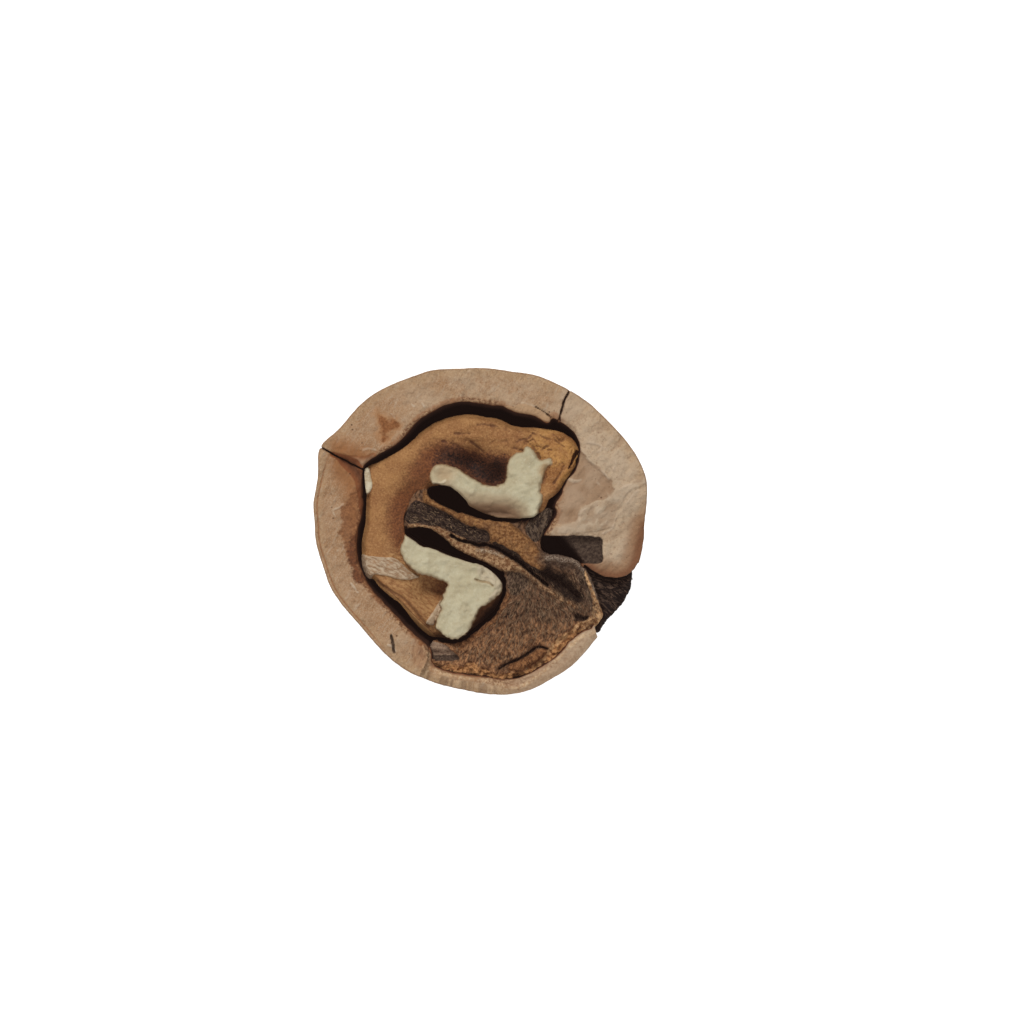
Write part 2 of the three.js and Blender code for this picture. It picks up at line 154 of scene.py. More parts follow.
UPPER_FLESH = [
    (-5.53, 6.1), (-5.35, 6.7), (-4.8, 7.2), (-4.3, 7.26), (-3.4, 7.2), (-2.6, 6.8), (-2.1, 6.6),
    (-1.55, 6.15), (-1.05, 5.75), (-0.4, 5.5), (0.3, 5.05), (1, 4.92), (1.75, 4.96), (2.25, 5.05),
    (2.65, 5.5), (2.75, 6.4), (2.8, 7.2), (3.15, 7.85), (3.55, 8.3), (4.1, 8.6), (4.55, 8.5), (4.67, 9),
    (5, 9.28), (5.4, 9), (5.9, 8.5), (6.35, 7.7), (6.7, 7.8), (7.2, 7.85), (7.5, 8), (7.75, 7.6),
    (7.85, 7.15), (7.35, 6.95), (6.95, 6.4), (6.9, 5.75), (6.55, 5.1), (6.5, 4.45), (6.7, 3.8), (6.75, 2.9),
    (6.2, 2.1), (6.2, 0.5), (-1, 1.5), (-3, 3), (-4.2, 4.6), (-4.4, 5.05), (-5.05, 5), (-5.35, 5.2),
]
LOWER_FLESH = [
    (-8.3, -0.43), (-7.95, -0.3), (-7.4, -0.5), (-6.2, -1.2), (-5.2, -1.4), (-4.6, -1.6), (-3.7, -2),
    (-2.4, -2.6), (-1.1, -3), (0.2, -3.3), (1, -3.8), (2, -4.6), (2.6, -5.5), (2.5, -6.36), (1.87, -7.14),
    (0.96, -7.92), (0.04, -8.31), (-0.35, -9.09), (-0.74, -10), (-1.13, -10.79), (-1.43, -11.18),
    (-1.95, -11.44), (-2.6, -11.76), (-3.38, -11.7), (-4.03, -11.31), (-4.55, -10.85), (-4.94, -10.39),
    (-4.81, -9.61), (-4.42, -8.7), (-4.29, -8.44), (-4.49, -7.92), (-4.29, -7.4), (-3.9, -6.36),
    (-3.58, -5.7), (-4.29, -5.44), (-5.07, -5.05), (-5.86, -4.86), (-6.51, -4.79), (-7.16, -4.4),
    (-7.94, -3.62), (-8.46, -2.97), (-8.72, -2.32), (-8.72, -1.8), (-8.33, -0.89),
]
FLAKE = [
    (-13.2, -2.5), (-12.1, -2.64), (-10.3, -2.84), (-9.5, -2.77), (-8.6, -3.36), (-8.05, -4),
    (-7.15, -4.66), (-6.55, -5), (-6.9, -5.12), (-7.95, -5.3), (-9, -5.2), (-9.75, -4.92), (-10.95, -4.66),
    (-11.6, -4.66), (-12, -5.6), (-13.2, -5),
]
SMALL_FLAKE = [
    (-4.3, -7.3), (-4.25, -8.6), (-4.8, -9.35), (-5.05, -10.3), (-5.6, -10.15), (-6, -9.9), (-5.35, -9),
    (-4.55, -7.8),
]
WHITE_CORNER = [
    (-12.9, 6.9), (-11.9, 6.9), (-11.9, 5.9), (-11.65, 5.25), (-11.7, 4.5), (-12.15, 3.9), (-12.9, 3.9),
]
RING_CREST = [
    (-9, -7.6), (-11.6, -4.2), (-11.2, 0.5), (-11, 4.5), (-9, 7), (-5, 10.4), (-1, 11.4), (3, 10.2),
    (6.8, 10), (8.9, 8.2), (8.4, 5.6), (7.4, 4),
]
SHADED_SKIN = [(-8.5, -0.6), (-8.9, 1.2), (-8.1, 3.4), (-6.9, 5), (-6.1, 6.5), (-5.4, 8)]
SOUTH_WALL = [
    (-4.2, 5.4), (-3.3, 5.1), (-2.5, 4.6), (-1.8, 4.2), (-1, 4), (1, 3.95), (3, 3.85), (4, 3.4), (4.8, 2.6),
    (5.3, 1.9), (5.6, 0), (-4.2, 0),
]
POCKET_SKIN = [
    (2.6, -5.5), (2.5, -6.36), (1.87, -7.14), (0.96, -7.92), (0.04, -8.31), (-0.35, -9.09), (-0.74, -10),
    (-1.13, -10.79), (-1.6, -11.3), (-2.6, -11.8), (-2, -13), (3, -13), (4, -6),
]
HOLLOW = [
    (-5.2, 7.3), (-4.4, 8.9), (-3.2, 9.1), (-1.8, 8.5), (0.6, 7.7), (1.9, 7.9), (3, 7.6), (2.8, 6.4),
    (2.7, 5.4), (2.2, 4.9), (0.3, 4.9), (-1.1, 5.7), (-2.1, 6.5), (-3.4, 7.1),
]

# The septum in plan and its regions
SEPTUM = [
    (-5.9, 4.7), (-5.75, 3.95), (-5.2, 3.35), (-4.3, 2.8), (-3.1, 2.15), (-1.4, 1.75), (0.15, 1.25),
    (1.5, 1.1), (2.8, 0.95), (3.8, 1), (5.1, 1.1), (5.7, 1.3), (6.4, 1.95), (7.2, 2.65), (8.1, 2.1),
    (7.1, 0.3), (6.3, -1.1), (6.6, -2.2), (7.4, -2.6), (8.2, -2.6), (9.8, -2.9), (11.1, -3.6), (12.1, -5.5),
    (12.6, -7.1), (13.1, -8.2), (13.4, -9.2), (13.2, -10.1), (12.4, -10.9), (11.3, -11), (10.3, -11.6),
    (8, -14.1), (6.2, -15.3), (4.9, -16.3), (4.1, -16.8), (2.8, -16.6), (0.8, -16.05), (-2.4, -15.75),
    (-4, -15.3), (-5.6, -14.7), (-5.6, -12.3), (-5, -11.8), (-3.8, -12.2), (-2.5, -12.2), (-1.6, -11.9),
    (-0.9, -11.3), (-0.2, -10.7), (0.8, -9.9), (1.8, -8.9), (2.5, -7.5), (2.8, -6.3), (2.75, -5.2),
    (2.5, -4.35), (2.1, -4.25), (1.2, -3.8), (0, -3.15), (-1.1, -2.75), (-2.5, -2.05), (-3.1, -1.55),
    (-3.8, -0.9), (-4.3, -0.4), (-5.1, 0.1), (-5.7, 0.35), (-6.6, 0.45), (-7.4, 0.35), (-8.4, 0.3),
    (-8.7, 1.4), (-8.2, 2.6), (-7.5, 3.8), (-6.6, 4.5),
]
CORE = [
    (-7.3, 3.4), (-6.4, 3.15), (-5.6, 2.75), (-4.7, 2.5), (-3.8, 2), (-2.7, 1.35), (-1.8, 0.8), (-0.8, 0.4),
    (0.2, 0.2), (0.75, 0), (1, -0.6), (0.95, -1.2), (0.2, -1.35), (-0.9, -1.35), (-1.8, -0.75),
    (-3.1, -0.2), (-4, 0.3), (-5.1, 0.55), (-6.4, 0.75), (-7.7, 0.8), (-8.3, 1.2), (-8.3, 1.7),
]
UPPER_BAND_CREST = [
    (-5.4, 3.5), (-3.6, 2.4), (-1.6, 1.35), (0.6, 0.7), (2.4, -0.1), (4.2, -1.6), (5.6, -2.9), (6.5, -3.9),
]
UPPER_BAND = [
    (-6.1, 4.7), (-5.7, 4), (-5.2, 3.4), (-4.3, 2.9), (-3.1, 2.25), (-1.4, 1.85), (0.15, 1.35), (1.5, 1.35),
    (2.8, 1.1), (3.8, 0.4), (4.7, -0.35), (5.65, -1), (6.2, -1.9), (6.7, -2.7), (7.1, -3.5), (7.15, -4),
    (6.7, -4.5), (6.2, -4.4), (5.1, -3.75), (4.1, -2.85), (3.2, -2.3), (2.1, -1.65), (1, -1.3), (1, -0.6),
    (0.75, 0), (0.2, 0.2), (-0.8, 0.4), (-1.8, 0.8), (-2.7, 1.35), (-3.8, 2), (-4.7, 2.5), (-5.6, 2.8),
    (-6.4, 3.2),
]
LOWER_BAND = [
    (-8.1, 0.4), (-7.7, 0.75), (-6.5, 0.7), (-5.3, 0.5), (-4, 0.2), (-3.1, -0.25), (-2.1, -0.55),
    (-1.3, -1.2), (-0.35, -1.9), (0.45, -1.95), (1.9, -2.2), (2.8, -2.85), (3.8, -3.25), (4.35, -3.6),
    (4.85, -4.1), (5.1, -4.6), (2.8, -4.4), (2.1, -4.3), (1.2, -3.9), (0, -3.3), (-1.1, -2.9), (-2.5, -2.2),
    (-3.1, -1.7), (-3.8, -1), (-4.3, -0.6), (-5.1, -0.05), (-5.7, 0.2), (-6.6, 0.3), (-7.4, 0.2),
]
SLIT = [
    (-3.2, -0.45), (-2.6, -0.85), (-1.9, -1.1), (-1, -1.35), (-0.35, -1.55), (0.55, -1.45), (1.5, -1.75),
    (2.8, -2.5), (4.1, -3.4), (5, -4.15), (6.2, -5.05), (7.2, -5.95),
]
VALLEY = [
    (6.2, -4.55), (7.2, -3.6), (7.7, -4.1), (8.8, -4.5), (10.1, -5.6), (11, -6.6), (11.4, -7.9),
    (10.2, -7.9), (8.8, -7.15), (7.5, -6.1), (6.7, -5.55),
]
WING = [(4.7, 0.3), (5.4, 1.3), (6.4, 2.1), (7.2, 2.7), (8.2, 2), (6.7, -0.4), (6, -1.4), (5.1, -0.6)]
SHEET_CREST = [
    (7.2, -3), (8, -2.75), (8.6, -3.1), (9.7, -3.1), (10.4, -3.5), (11, -4.1), (11.5, -5.1), (12, -6.2),
    (12.3, -7.4),
]
GREY_STRIP = [
    (1.1, -1.1), (2.1, -1.4), (3.2, -2.05), (4.1, -2.45), (4.6, -3.2), (5.9, -4), (6.95, -4.5), (6.2, -4.8),
    (5.1, -4), (3.8, -3.1), (2.8, -2.3), (1.5, -1.7),
]
GREY_PATCH = [
    (2.9, -4.4), (3.9, -4.2), (4.6, -4.6), (5.1, -5.4), (5.2, -6), (4.6, -6.5), (3.8, -7.1), (3.1, -6.6),
    (2.8, -5.4),
]
LOWER_CREST = [(3.6, -3.5), (4.9, -4.6), (6, -5.4), (7.2, -6.3), (8.6, -7.3), (10.2, -8.1)]
POCKET_RIM = [(3, -6.9), (2.3, -8.5), (1, -10.1), (-0.5, -11.4), (-2.4, -12.4)]
WING_EDGE = [(8.05, 2.0), (7.1, 0.3), (6.35, -0.9)]
TAN_RIDGE = [
    (11.1, -4), (11.4, -4.5), (12.05, -6.1), (12.55, -7.3), (12.95, -8.3), (13.2, -9.1), (13.1, -9.9),
    (12.4, -10.8), (11.25, -10.65), (10.3, -10.8), (10.3, -10), (11.9, -9.5), (12.15, -8.4), (12, -7.4),
    (11.7, -6.1), (11.2, -5.05),
]
LEDGE = [(2.0, -14.9), (2.8, -14.4), (4.35, -13.8), (5.65, -12.9), (6.3, -12.5), (7.2, -12.75)]
LENS_FOLD = [
    (2.6, -14.8), (3.4, -14.3), (4.7, -13.8), (6.2, -12.85), (7.2, -12.75), (7.2, -13.25), (6.2, -14.2),
    (4.7, -15.1), (3.4, -15.3),
]
FACET = [
    (-5.6, -11.9), (-4.4, -12.1), (-3.6, -12.4), (-3.2, -12.9), (-2.2, -13.7), (-2.4, -14.05),
    (-5.6, -14.1),
]
RIND = [
    (-0.3, -3.7), (0.2, -3.6), (1.1, -4), (1.9, -4.8), (2.5, -5.6), (2.4, -6.6), (1.8, -7.2), (1.1, -7.7),
    (0.8, -7.3), (1.3, -6.8), (1.6, -6.1), (1.3, -5.6), (0.5, -5.3), (-0.3, -5),
]
FOLDS = [
    [(4.75, 9.85), (5.3, 9.4), (5.85, 8.8), (6.25, 8.2), (6.45, 7.7)],
    [(3.6, 8.95), (4.1, 8.8), (4.55, 8.65)],
    [(5.6, 10.55), (6.35, 10.35), (6.95, 10), (7.6, 9.85)],
    [(7.95, 9.9), (8.45, 9.45), (9.05, 9.05)],
    [(9.05, 7.1), (8.7, 6.35), (8.2, 5.6), (7.75, 5.05)],
    [(3.8, 9.55), (4.35, 9.85), (5.2, 9.9), (5.4, 10.3)],
    [(6.6, 8.75), (6.95, 9.1), (7.5, 9.2)],
    [(-4.1, 9.7), (-3.35, 9.5), (-2.6, 9.3), (-2.1, 9), (-1.7, 8.75), (-1.05, 8.15)],
    [(-1.35, 9.8), (-0.65, 9.35), (-0.15, 8.95), (0.4, 8.45)],
    [(-4.35, 9.05), (-4.1, 8.45)],
    [(-2.8, 10.5), (-2.05, 10.5), (-1.15, 10.5)],
    [(-0.4, 11.4), (0.25, 11.55), (1, 11.35), (1.9, 11.2)],
]
# Where a painted highlight runs along the flesh's raised left rim
LIT_FLESH_RIM = [(-5.3, 5.3), (-4.8, 5.08), (-4.3, 5.15), (-3.85, 5.45)]
SPLIT = [(10.4, 8.5), (10.1, 8), (9.85, 7.4), (9.6, 6.85), (9.25, 6.4)]
CREASE = [(-0.6, -5.2), (0.1, -5.45), (0.8, -5.5), (1.3, -5.9)]
SPONGY = [
    (-5.6, -14), (-4.3, -14.6), (-3, -14.4), (-2.1, -14.9), (-1.1, -14.2), (0.2, -14.9), (1.7, -15.5),
    (3.2, -15.5), (5, -15.1), (6.5, -14), (7.35, -12.8), (8, -12), (9.3, -11), (10, -10.6), (10.6, -9.9),
    (13, -9.5), (16, -18), (-8, -18),
]
HOLE = [(10.2, -8.6), (10.9, -9.1), (12, -9.3), (11.3, -9.8), (10.3, -9.9), (10.05, -9.3)]

# The open suture at the lower right and the fibres in it
NOTCH = [
    (11, -3.7), (11.2, -3.55), (11.9, -4.15), (12.7, -4.65), (13.6, -5), (15.15, -5.05), (16.05, -4.65),
    (16.7, -3.9), (17, -3.4), (19.5, -3.2), (20, -6), (17, -12), (13, -12), (12.3, -10.9), (12, -7.6),
]
FIBRES = [
    (11.1, -3.9), (12.7, -4.8), (13.6, -5.1), (15.15, -5.15), (16.1, -4.7), (16.95, -3.6), (16.9, -4.4),
    (16.5, -5.6), (16.1, -6.6), (15.4, -7.9), (14.1, -9.2), (13.45, -10), (12.6, -11.2), (12.3, -10.9),
    (12.8, -9.6), (12.5, -8.3), (11.9, -6.8), (11.5, -5.4),
]

# What has broken out of the shell's face
PIT = [
    (5.8, -0.45), (8.5, -0.62), (10.6, -0.43), (11.9, -0.56), (13.2, -0.69), (13.07, -2.06), (13.27, -3.3),
    (12.42, -3.62), (11.12, -3.49), (9.8, -4), (7, -4),
]
LOW_RIM = [
    (-5.6, -11.5), (-5.6, -13.8), (-5.75, -14.1), (-6.35, -15.2), (-6.7, -16.2), (-7.4, -19.5), (15, -19.5),
    (15, -9.8), (12.4, -9.6), (11, -10.4), (4, -11),
]
LEFT_SLOPE = [
    (-16.3, 8.15), (-15.5, 7.7), (-15.1, 7.15), (-14.55, 6.6), (-14, 6.05), (-13.6, 5.4), (-13.35, 4.7),
    (-13.15, 3.4), (-12.95, 1.4), (-12.2, 1.4), (-12.2, 7.4), (-15.8, 8.6),
]
CORNER_SLOPE = [
    (-15.9, 8.35), (-15.1, 8.15), (-14.3, 8.2), (-13.2, 8), (-12.3, 7.9), (-11.4, 8.6), (-11, 8),
    (-12.4, 6.4), (-15.8, 7.9),
]
LEFT_STAIN = [
    (-13.7, 4.6), (-14.2, 3.3), (-15, 2.0), (-14.9, 0.7), (-15, -0.6), (-14.4, -1.3), (-14.5, -2.7),
    (-14.2, -3.9), (-13.4, -4.2), (-13, -5.6), (-12.1, -6.4), (-11.1, -7.4), (-9.1, -9.4), (-5.5, -13),
    (-4, -10), (-9, -5), (-12, 0), (-12, 4.6),
]
DARK_STAIN = [
    (-14.1, -0.9), (-14, -1.8), (-14.3, -2.4), (-14.1, -3.7), (-13.6, -4.9), (-12.8, -5.9), (-12.6, -5.4),
    (-13.2, -3.8), (-13.5, -2), (-13.4, -0.3),
]
LOW_FACE = [
    (10.65, 8.75), (11.25, 8.25), (11.8, 7.45), (12.7, 6.8), (13.4, 6.1), (13.9, 5.4), (14.3, 4.3),
    (13.3, 3.5), (11.7, 3), (10.6, 2.3), (10.5, 1.2), (9.4, 0.9), (6.8, 0.6), (6.8, 2.3), (7.6, 4),
    (9.4, 6.4),
]
PALE_FACE = [
    (10.7, 2.2), (12, 3), (13.6, 3.5), (14.6, 4.5), (17.6, 5.7), (17.9, 5.3), (17.2, 4.9), (16.2, 4.4),
    (15.4, 3.4), (14.7, 1.8), (14.5, 0.6), (13.4, 0.3), (11, -0.2), (7, -0.3), (7.6, 0.5), (9.4, 0.7),
    (10.6, 1),
]
LIP = [
    (2.6, 13.45), (3.7, 13.3), (4.6, 13.85), (5.6, 13.4), (6.7, 12.9), (7.6, 12.15), (7.4, 11.6),
    (6.2, 12.1), (4.5, 12.5), (2.6, 13.0),
]
STAIN = [
    (-10.95, 12.5), (-10.4, 12.3), (-10.0, 11.9), (-9.3, 12.0), (-8.9, 11.5), (-9.4, 10.8), (-10, 10.3),
    (-10.35, 9.5), (-10.75, 10.2), (-10.7, 11.1), (-10.9, 11.7),
]
UPPER_CRACK = [(9.75, 15.5), (9.55, 15), (9, 14.1), (8.85, 13.45), (8.5, 12.2), (8.4, 11.6)]
LIP_CRACK = [(5.9, 13.35), (6.8, 12.85), (7.65, 12.15)]
SCAR = [(-9.6, -11.2), (-9.4, -12.1), (-9.3, -13)]
LOWER_EDGE = [
    (11, -3.6), (12.7, -4.7), (13.6, -5), (15.2, -5.05), (16.1, -4.6), (16.9, -3.3), (17.3, -1.5),
    (17.9, 0.5),
]
CRESTS = [
    [(10.65, 8.75), (11.25, 8.35), (11.7, 7.5), (12.5, 6.95), (13.1, 6.4), (13.8, 5.6)],
    [(11.6, 9.5), (12.3, 9.4), (12.95, 9.2), (13.05, 8.8), (12.6, 8.5)],
    [(13.4, 8.9), (14.2, 8.4), (14.6, 7.4), (14.3, 6.6)],
    [(14.6, 4.1), (15.5, 4.9), (16.6, 5.1), (17.7, 5.2)],
    [(15.7, 3.0), (16.3, 3.8), (17.0, 4.4), (17.9, 4.7)],
    [(10.6, 1.1), (10.6, 2.2), (11.6, 2.5)],
    [(13.2, -0.2), (14.3, 0.2), (14.5, 1.2)],
    [(4.4, 13.8), (5.1, 13.7), (5.9, 13.35)],
    [(9.4, 5.6), (10.2, 5.3), (10.8, 5.5)],
    [(12.6, 5.2), (13.4, 4.4), (13.9, 3.6)],
]
SCALES = [
    [(-15.9, 2.3), (-15.2, 2.5), (-14.8, 2.9)], [(-15.6, 1.6), (-15.9, 2.1)], [(-13.9, 4.1), (-13.4, 4.3)],
    [(-12.6, 8.7), (-11.9, 8.9), (-11.2, 8.7)], [(-10.3, 8.2), (-9.7, 8.6), (-9.5, 9.0)],
    [(-9.6, 12.6), (-9.2, 12.1)], [(-7.4, 13.6), (-7.1, 13.4)], [(-6.3, 13.8), (-6.0, 13.3)],
    [(-13.9, -5.6), (-13.2, -6.6)], [(-9.9, -12.2), (-9.4, -12.4), (-9.1, -12.9)],
]
FLUTED_RING = [
    (-5.5, -14.8), (-4, -15.4), (-2.4, -15.85), (0.2, -16.1), (2.6, -16.7), (4.2, -17), (6.3, -15.5),
    (8.2, -14), (10.3, -11.8), (11.4, -11.1), (12.3, -11),
]
BREAK_LINE = [(-5.5, -13.2), (-5.75, -14.5), (-6.15, -15.95)]
BAND_CREASE = [(-11.1, -5.4), (-9.5, -6.6), (-8.3, -7.2), (-7.3, -8.2), (-6.5, -9.3), (-5.6, -10.4)]
PALE_CRUMBS = [(-0.4, -2.05), (0.6, -2.15), (1.6, -2.35), (2.4, -2.75)]
RIDGE = [(10.65, 8.75), (11.25, 8.25), (11.8, 7.45), (12.7, 6.8), (13.4, 6.1), (13.85, 5.5)]

# Places on the kernel where its skin is amber and its flesh is tanned
AMBER_MIDDLE = (8.4, 8, 19.4)
LEFT_TAN = (-3.9, 6.2, 19.6)
RIGHT_TAN = (7.2, 6.4, 19.8)

plan_axis = np.arange(-PLAN_HALF, PLAN_HALF + STEP / 2, STEP)
PX, PY = np.meshgrid(plan_axis, plan_axis, indexing="ij")


# Plan drawing: every function below gives one number for each point of the plan grid

def ease(low, high, value):
    """From 0 to 1 as a value goes from low to high, slow at both ends."""
    share = np.clip((value - low) / (high - low), 0, 1)
    return share * share * (3 - 2 * share)


def rounded(points, closed=True):
    """An outline or a line with its corners cut, so that it runs smoothly."""
    points = np.asarray(points, float)
    here = points if closed else points[:-1]
    there = np.roll(points, -1, axis=0) if closed else points[1:]
    cut = np.stack([0.75 * here + 0.25 * there, 0.25 * here + 0.75 * there], 1).reshape(-1, 2)
    return cut if closed else np.vstack([points[:1], cut, points[-1:]])


def nearest(chain, reach):
    """How far each plan point lies from a chain of straight stretches, up to a reach."""
    away = np.full(PX.shape, float(reach))
    for start, end in zip(chain[:-1], chain[1:]):
        low = np.minimum(start, end) - reach
        high = np.maximum(start, end) + reach
        across = slice(*np.searchsorted(plan_axis, (low[0], high[0])))
        along = slice(*np.searchsorted(plan_axis, (low[1], high[1])))
        run = end - start
        dx = PX[across, along] - start[0]
        dy = PY[across, along] - start[1]
        share = np.clip((dx * run[0] + dy * run[1]) / max(run @ run, 1e-9), 0, 1)
        off = np.hypot(dx - share * run[0], dy - share * run[1])
        away[across, along] = np.minimum(away[across, along], off)
    return away


def from_line(points, reach=3.0):
    """How far each plan point lies from a drawn line."""
    return nearest(rounded(points, closed=False), reach)


def from_lines(lines, reach=3.0):
    """How far each plan point lies from the nearest of some lines."""
    return np.minimum.reduce([from_line(line, reach) for line in lines])


def from_outline(points, reach=3.0):
    """How far each plan point lies outside an outline, with less than 0 inside it."""
    corners = rounded(points)
    closed = np.vstack([corners, corners[:1]])
    inside = np.zeros(PX.shape, bool)
    for (x1, y1), (x2, y2) in zip(closed[:-1], closed[1:]):
        rows = (plan_axis >= min(y1, y2)) & (plan_axis < max(y1, y2))
        if rows.any():
            crossing = x1 + (plan_axis[rows] - y1) * (x2 - x1) / (y2 - y1)
            inside[:, rows] ^= plan_axis[:, None] < crossing[None, :]
    away = nearest(closed, reach)
    return np.where(inside, -away, away)


def torn(points, seed, ragged, size):
    """How far each plan point lies outside an outline whose edge is torn."""
    return from_outline(points) + ragged * rough(seed, size, PX, PY)


def hump(away, width):
    """From 1 where a distance is 0 to nothing on both sides."""
    return np.exp(-((away / width) ** 2))


def swell(start, end, height, reach):
    """A rise along a line that dies away to both sides of it."""
    start, end = np.asarray(start, float), np.asarray(end, float)
    run = end - start
    share = np.clip(((PX - start[0]) * run[0] + (PY - start[1]) * run[1]) / (run @ run), 0, 1)
    off = np.hypot(PX - start[0] - share * run[0], PY - start[1] - share * run[1])
    return height * hump(off, reach)


def noise(seed, size, *places):
    """Smooth random values from -1 to 1 with lumps of about one size, at places in plan or in space."""
    sizes = size if isinstance(size, tuple) else (size,) * len(places)
    table = np.random.default_rng(seed).uniform(-1, 1, (NOISE_CELLS,) * len(places)).astype(np.float32)
    shift = SEED_SHIFT * seed
    cells, shares = [], []
    for place, one in zip(places, sizes):
        scaled = np.asarray(place) / one + shift
        cell = np.floor(scaled)
        share = scaled - cell
        cells.append(cell.astype(np.int32))
        shares.append(share * share * (3 - 2 * share))
    total = 0
    for corner in np.ndindex((2,) * len(places)):
        weight = 1
        for side, share in zip(corner, shares):
            weight = weight * (share if side else 1 - share)
        index = tuple((cell + side) % NOISE_CELLS for cell, side in zip(cells, corner))
        total = total + weight * table[index]
    return total


def rough(seed, size, *places, layers=3, finer=2.1, weaker=0.55):
    """Noise of one size, with layers on it that are each finer and weaker than the last."""
    total, weight = 0, 1
    for layer in range(layers):
        total = total + weight * noise(seed + layer, size / finer ** layer, *places)
        weight *= weaker
    return total


def turned(degrees, x, y):
    """Places in plan along and across a direction."""
    angle = math.radians(degrees)
    return x * math.cos(angle) + y * math.sin(angle), y * math.cos(angle) - x * math.sin(angle)


def read_plan(drawing, x, y):
    """A plan drawing's value at any places."""
    i = np.clip((np.asarray(x) - plan_axis[0]) / STEP, 0, len(plan_axis) - 1.001)
    j = np.clip((np.asarray(y) - plan_axis[0]) / STEP, 0, len(plan_axis) - 1.001)
    i0, j0 = i.astype(int), j.astype(int)
    u, v = i - i0, j - j0
    low = drawing[i0, j0] * (1 - u) + drawing[i0 + 1, j0] * u
    high = drawing[i0, j0 + 1] * (1 - u) + drawing[i0 + 1, j0 + 1] * u
    return low * (1 - v) + high * v


# Solids: a field is less than 0 inside a solid, and its surface is meshed where it crosses 0

class Room:
    """A block of space with fine layers near its top, which fields fill and are meshed in."""

    def __init__(self, x_range, y_range, z_range, fine_from=FINE_FROM_Z):
        self.i = slice(*np.searchsorted(plan_axis, x_range))
        self.j = slice(*np.searchsorted(plan_axis, y_range))
        self.x = plan_axis[self.i]
        self.y = plan_axis[self.j]
        coarse = np.arange(z_range[0], fine_from, COARSE_STEP)
        self.z = np.concatenate([coarse, np.arange(fine_from, z_range[1], STEP)])

    def plan(self, drawing):
        """A plan drawing, the same at every height."""
        return drawing[self.i, self.j, None].astype(np.float32)

    @property
    def places(self):
        """The X, Y and Z of the room's points, which spread over it as they are used together."""
        x = self.x[:, None, None].astype(np.float32)
        y = self.y[None, :, None].astype(np.float32)
        return x, y, self.z[None, None, :].astype(np.float32)


def both(first, second, blend=0.0):
    """What lies in two fields at once, with the edge between them rounded."""
    if not blend:
        return np.maximum(first, second)
    share = np.clip(0.5 + 0.5 * (first - second) / blend, 0, 1)
    return second + (first - second) * share + blend * share * (1 - share)


CORNERS = [(i, j, k) for i in (0, 1) for j in (0, 1) for k in (0, 1)]
EDGES = [(a, b) for a in CORNERS for b in CORNERS if a < b and sum(abs(np.subtract(a, b))) == 1]


def mesh_field(field, room):
    """Points and four-sided faces of the surface where a field crosses 0."""
    inside = field < 0
    nx, ny, nz = (n - 1 for n in field.shape)
    count = sum(inside[i:nx + i, j:ny + j, k:nz + k].astype(np.uint8) for i, j, k in CORNERS)
    cells = np.argwhere((count > 0) & (count < 8))
    number = np.full((nx, ny, nz), -1, np.int32)
    number[tuple(cells.T)] = np.arange(len(cells))
    total = np.zeros((len(cells), 3))
    hits = np.zeros((len(cells), 1))
    for a, b in EDGES:
        near = field[tuple((cells + a).T)]
        far = field[tuple((cells + b).T)]
        crossed = (near < 0) != (far < 0)
        share = np.where(crossed, near / np.where(crossed, near - far, 1), 0)
        total += np.where(crossed[:, None], np.asarray(a) + share[:, None] * np.subtract(b, a), 0)
        hits += crossed[:, None]
    spots = cells + total / hits
    points = np.stack([np.interp(spots[:, n], np.arange(len(line)), line)
                       for n, line in enumerate((room.x, room.y, room.z))], 1)
    return points, faces_across(inside, number)


def faces_across(inside, number):
    """The four-sided faces between the numbered points of the cells that a surface runs through."""
    faces = []
    for axis in range(3):
        one, two = [n for n in range(3) if n != axis]
        low = [slice(1, -1)] * 3
        low[axis] = slice(0, -1)
        high = list(low)
        high[axis] = slice(1, None)
        crossed = inside[tuple(low)] != inside[tuple(high)]
        leaving = inside[tuple(low)][crossed]
        at = np.argwhere(crossed)
        at[:, one] += 1
        at[:, two] += 1
        ring = []
        for back_one, back_two in ((1, 1), (0, 1), (0, 0), (1, 0)):
            cell = at.copy()
            cell[:, one] -= back_one
            cell[:, two] -= back_two
            ring.append(number[tuple(cell.T)])
        ring = np.stack(ring, 1)
        flip = leaving if axis == 1 else ~leaving
        ring[flip] = ring[flip][:, ::-1]
        faces.append(ring)
    return np.concatenate(faces)


def outward(points, faces):
    """The direction out of a surface at each of its points."""
    a, b, c, d = (points[faces[:, n]] for n in range(4))
    across = np.cross(c - a, d - b)
    out = np.zeros_like(points)
    for n in range(4):
        for axis in range(3):
            out[:, axis] += np.bincount(faces[:, n], across[:, axis], len(points))
    return out / np.maximum(np.linalg.norm(out, axis=1, keepdims=True), 1e-9)


def bare_mesh(name, points, faces):
    """A mesh of points in millimetres, with all of its faces smooth and with as many sides."""
    mesh = bpy.data.meshes.new(name)
    mesh.vertices.add(len(points))
    mesh.vertices.foreach_set("co", (points * MM).astype(np.float32).ravel())
    mesh.loops.add(faces.size)
    mesh.loops.foreach_set("vertex_index", faces.astype(np.int32).ravel())
    mesh.polygons.add(len(faces))
    sides = faces.shape[1]
    mesh.polygons.foreach_set("loop_start", np.arange(0, faces.size, sides, dtype=np.int32))
    mesh.polygons.foreach_set("use_smooth", np.ones(len(faces), bool))
    mesh.update(calc_edges=True)
    return mesh


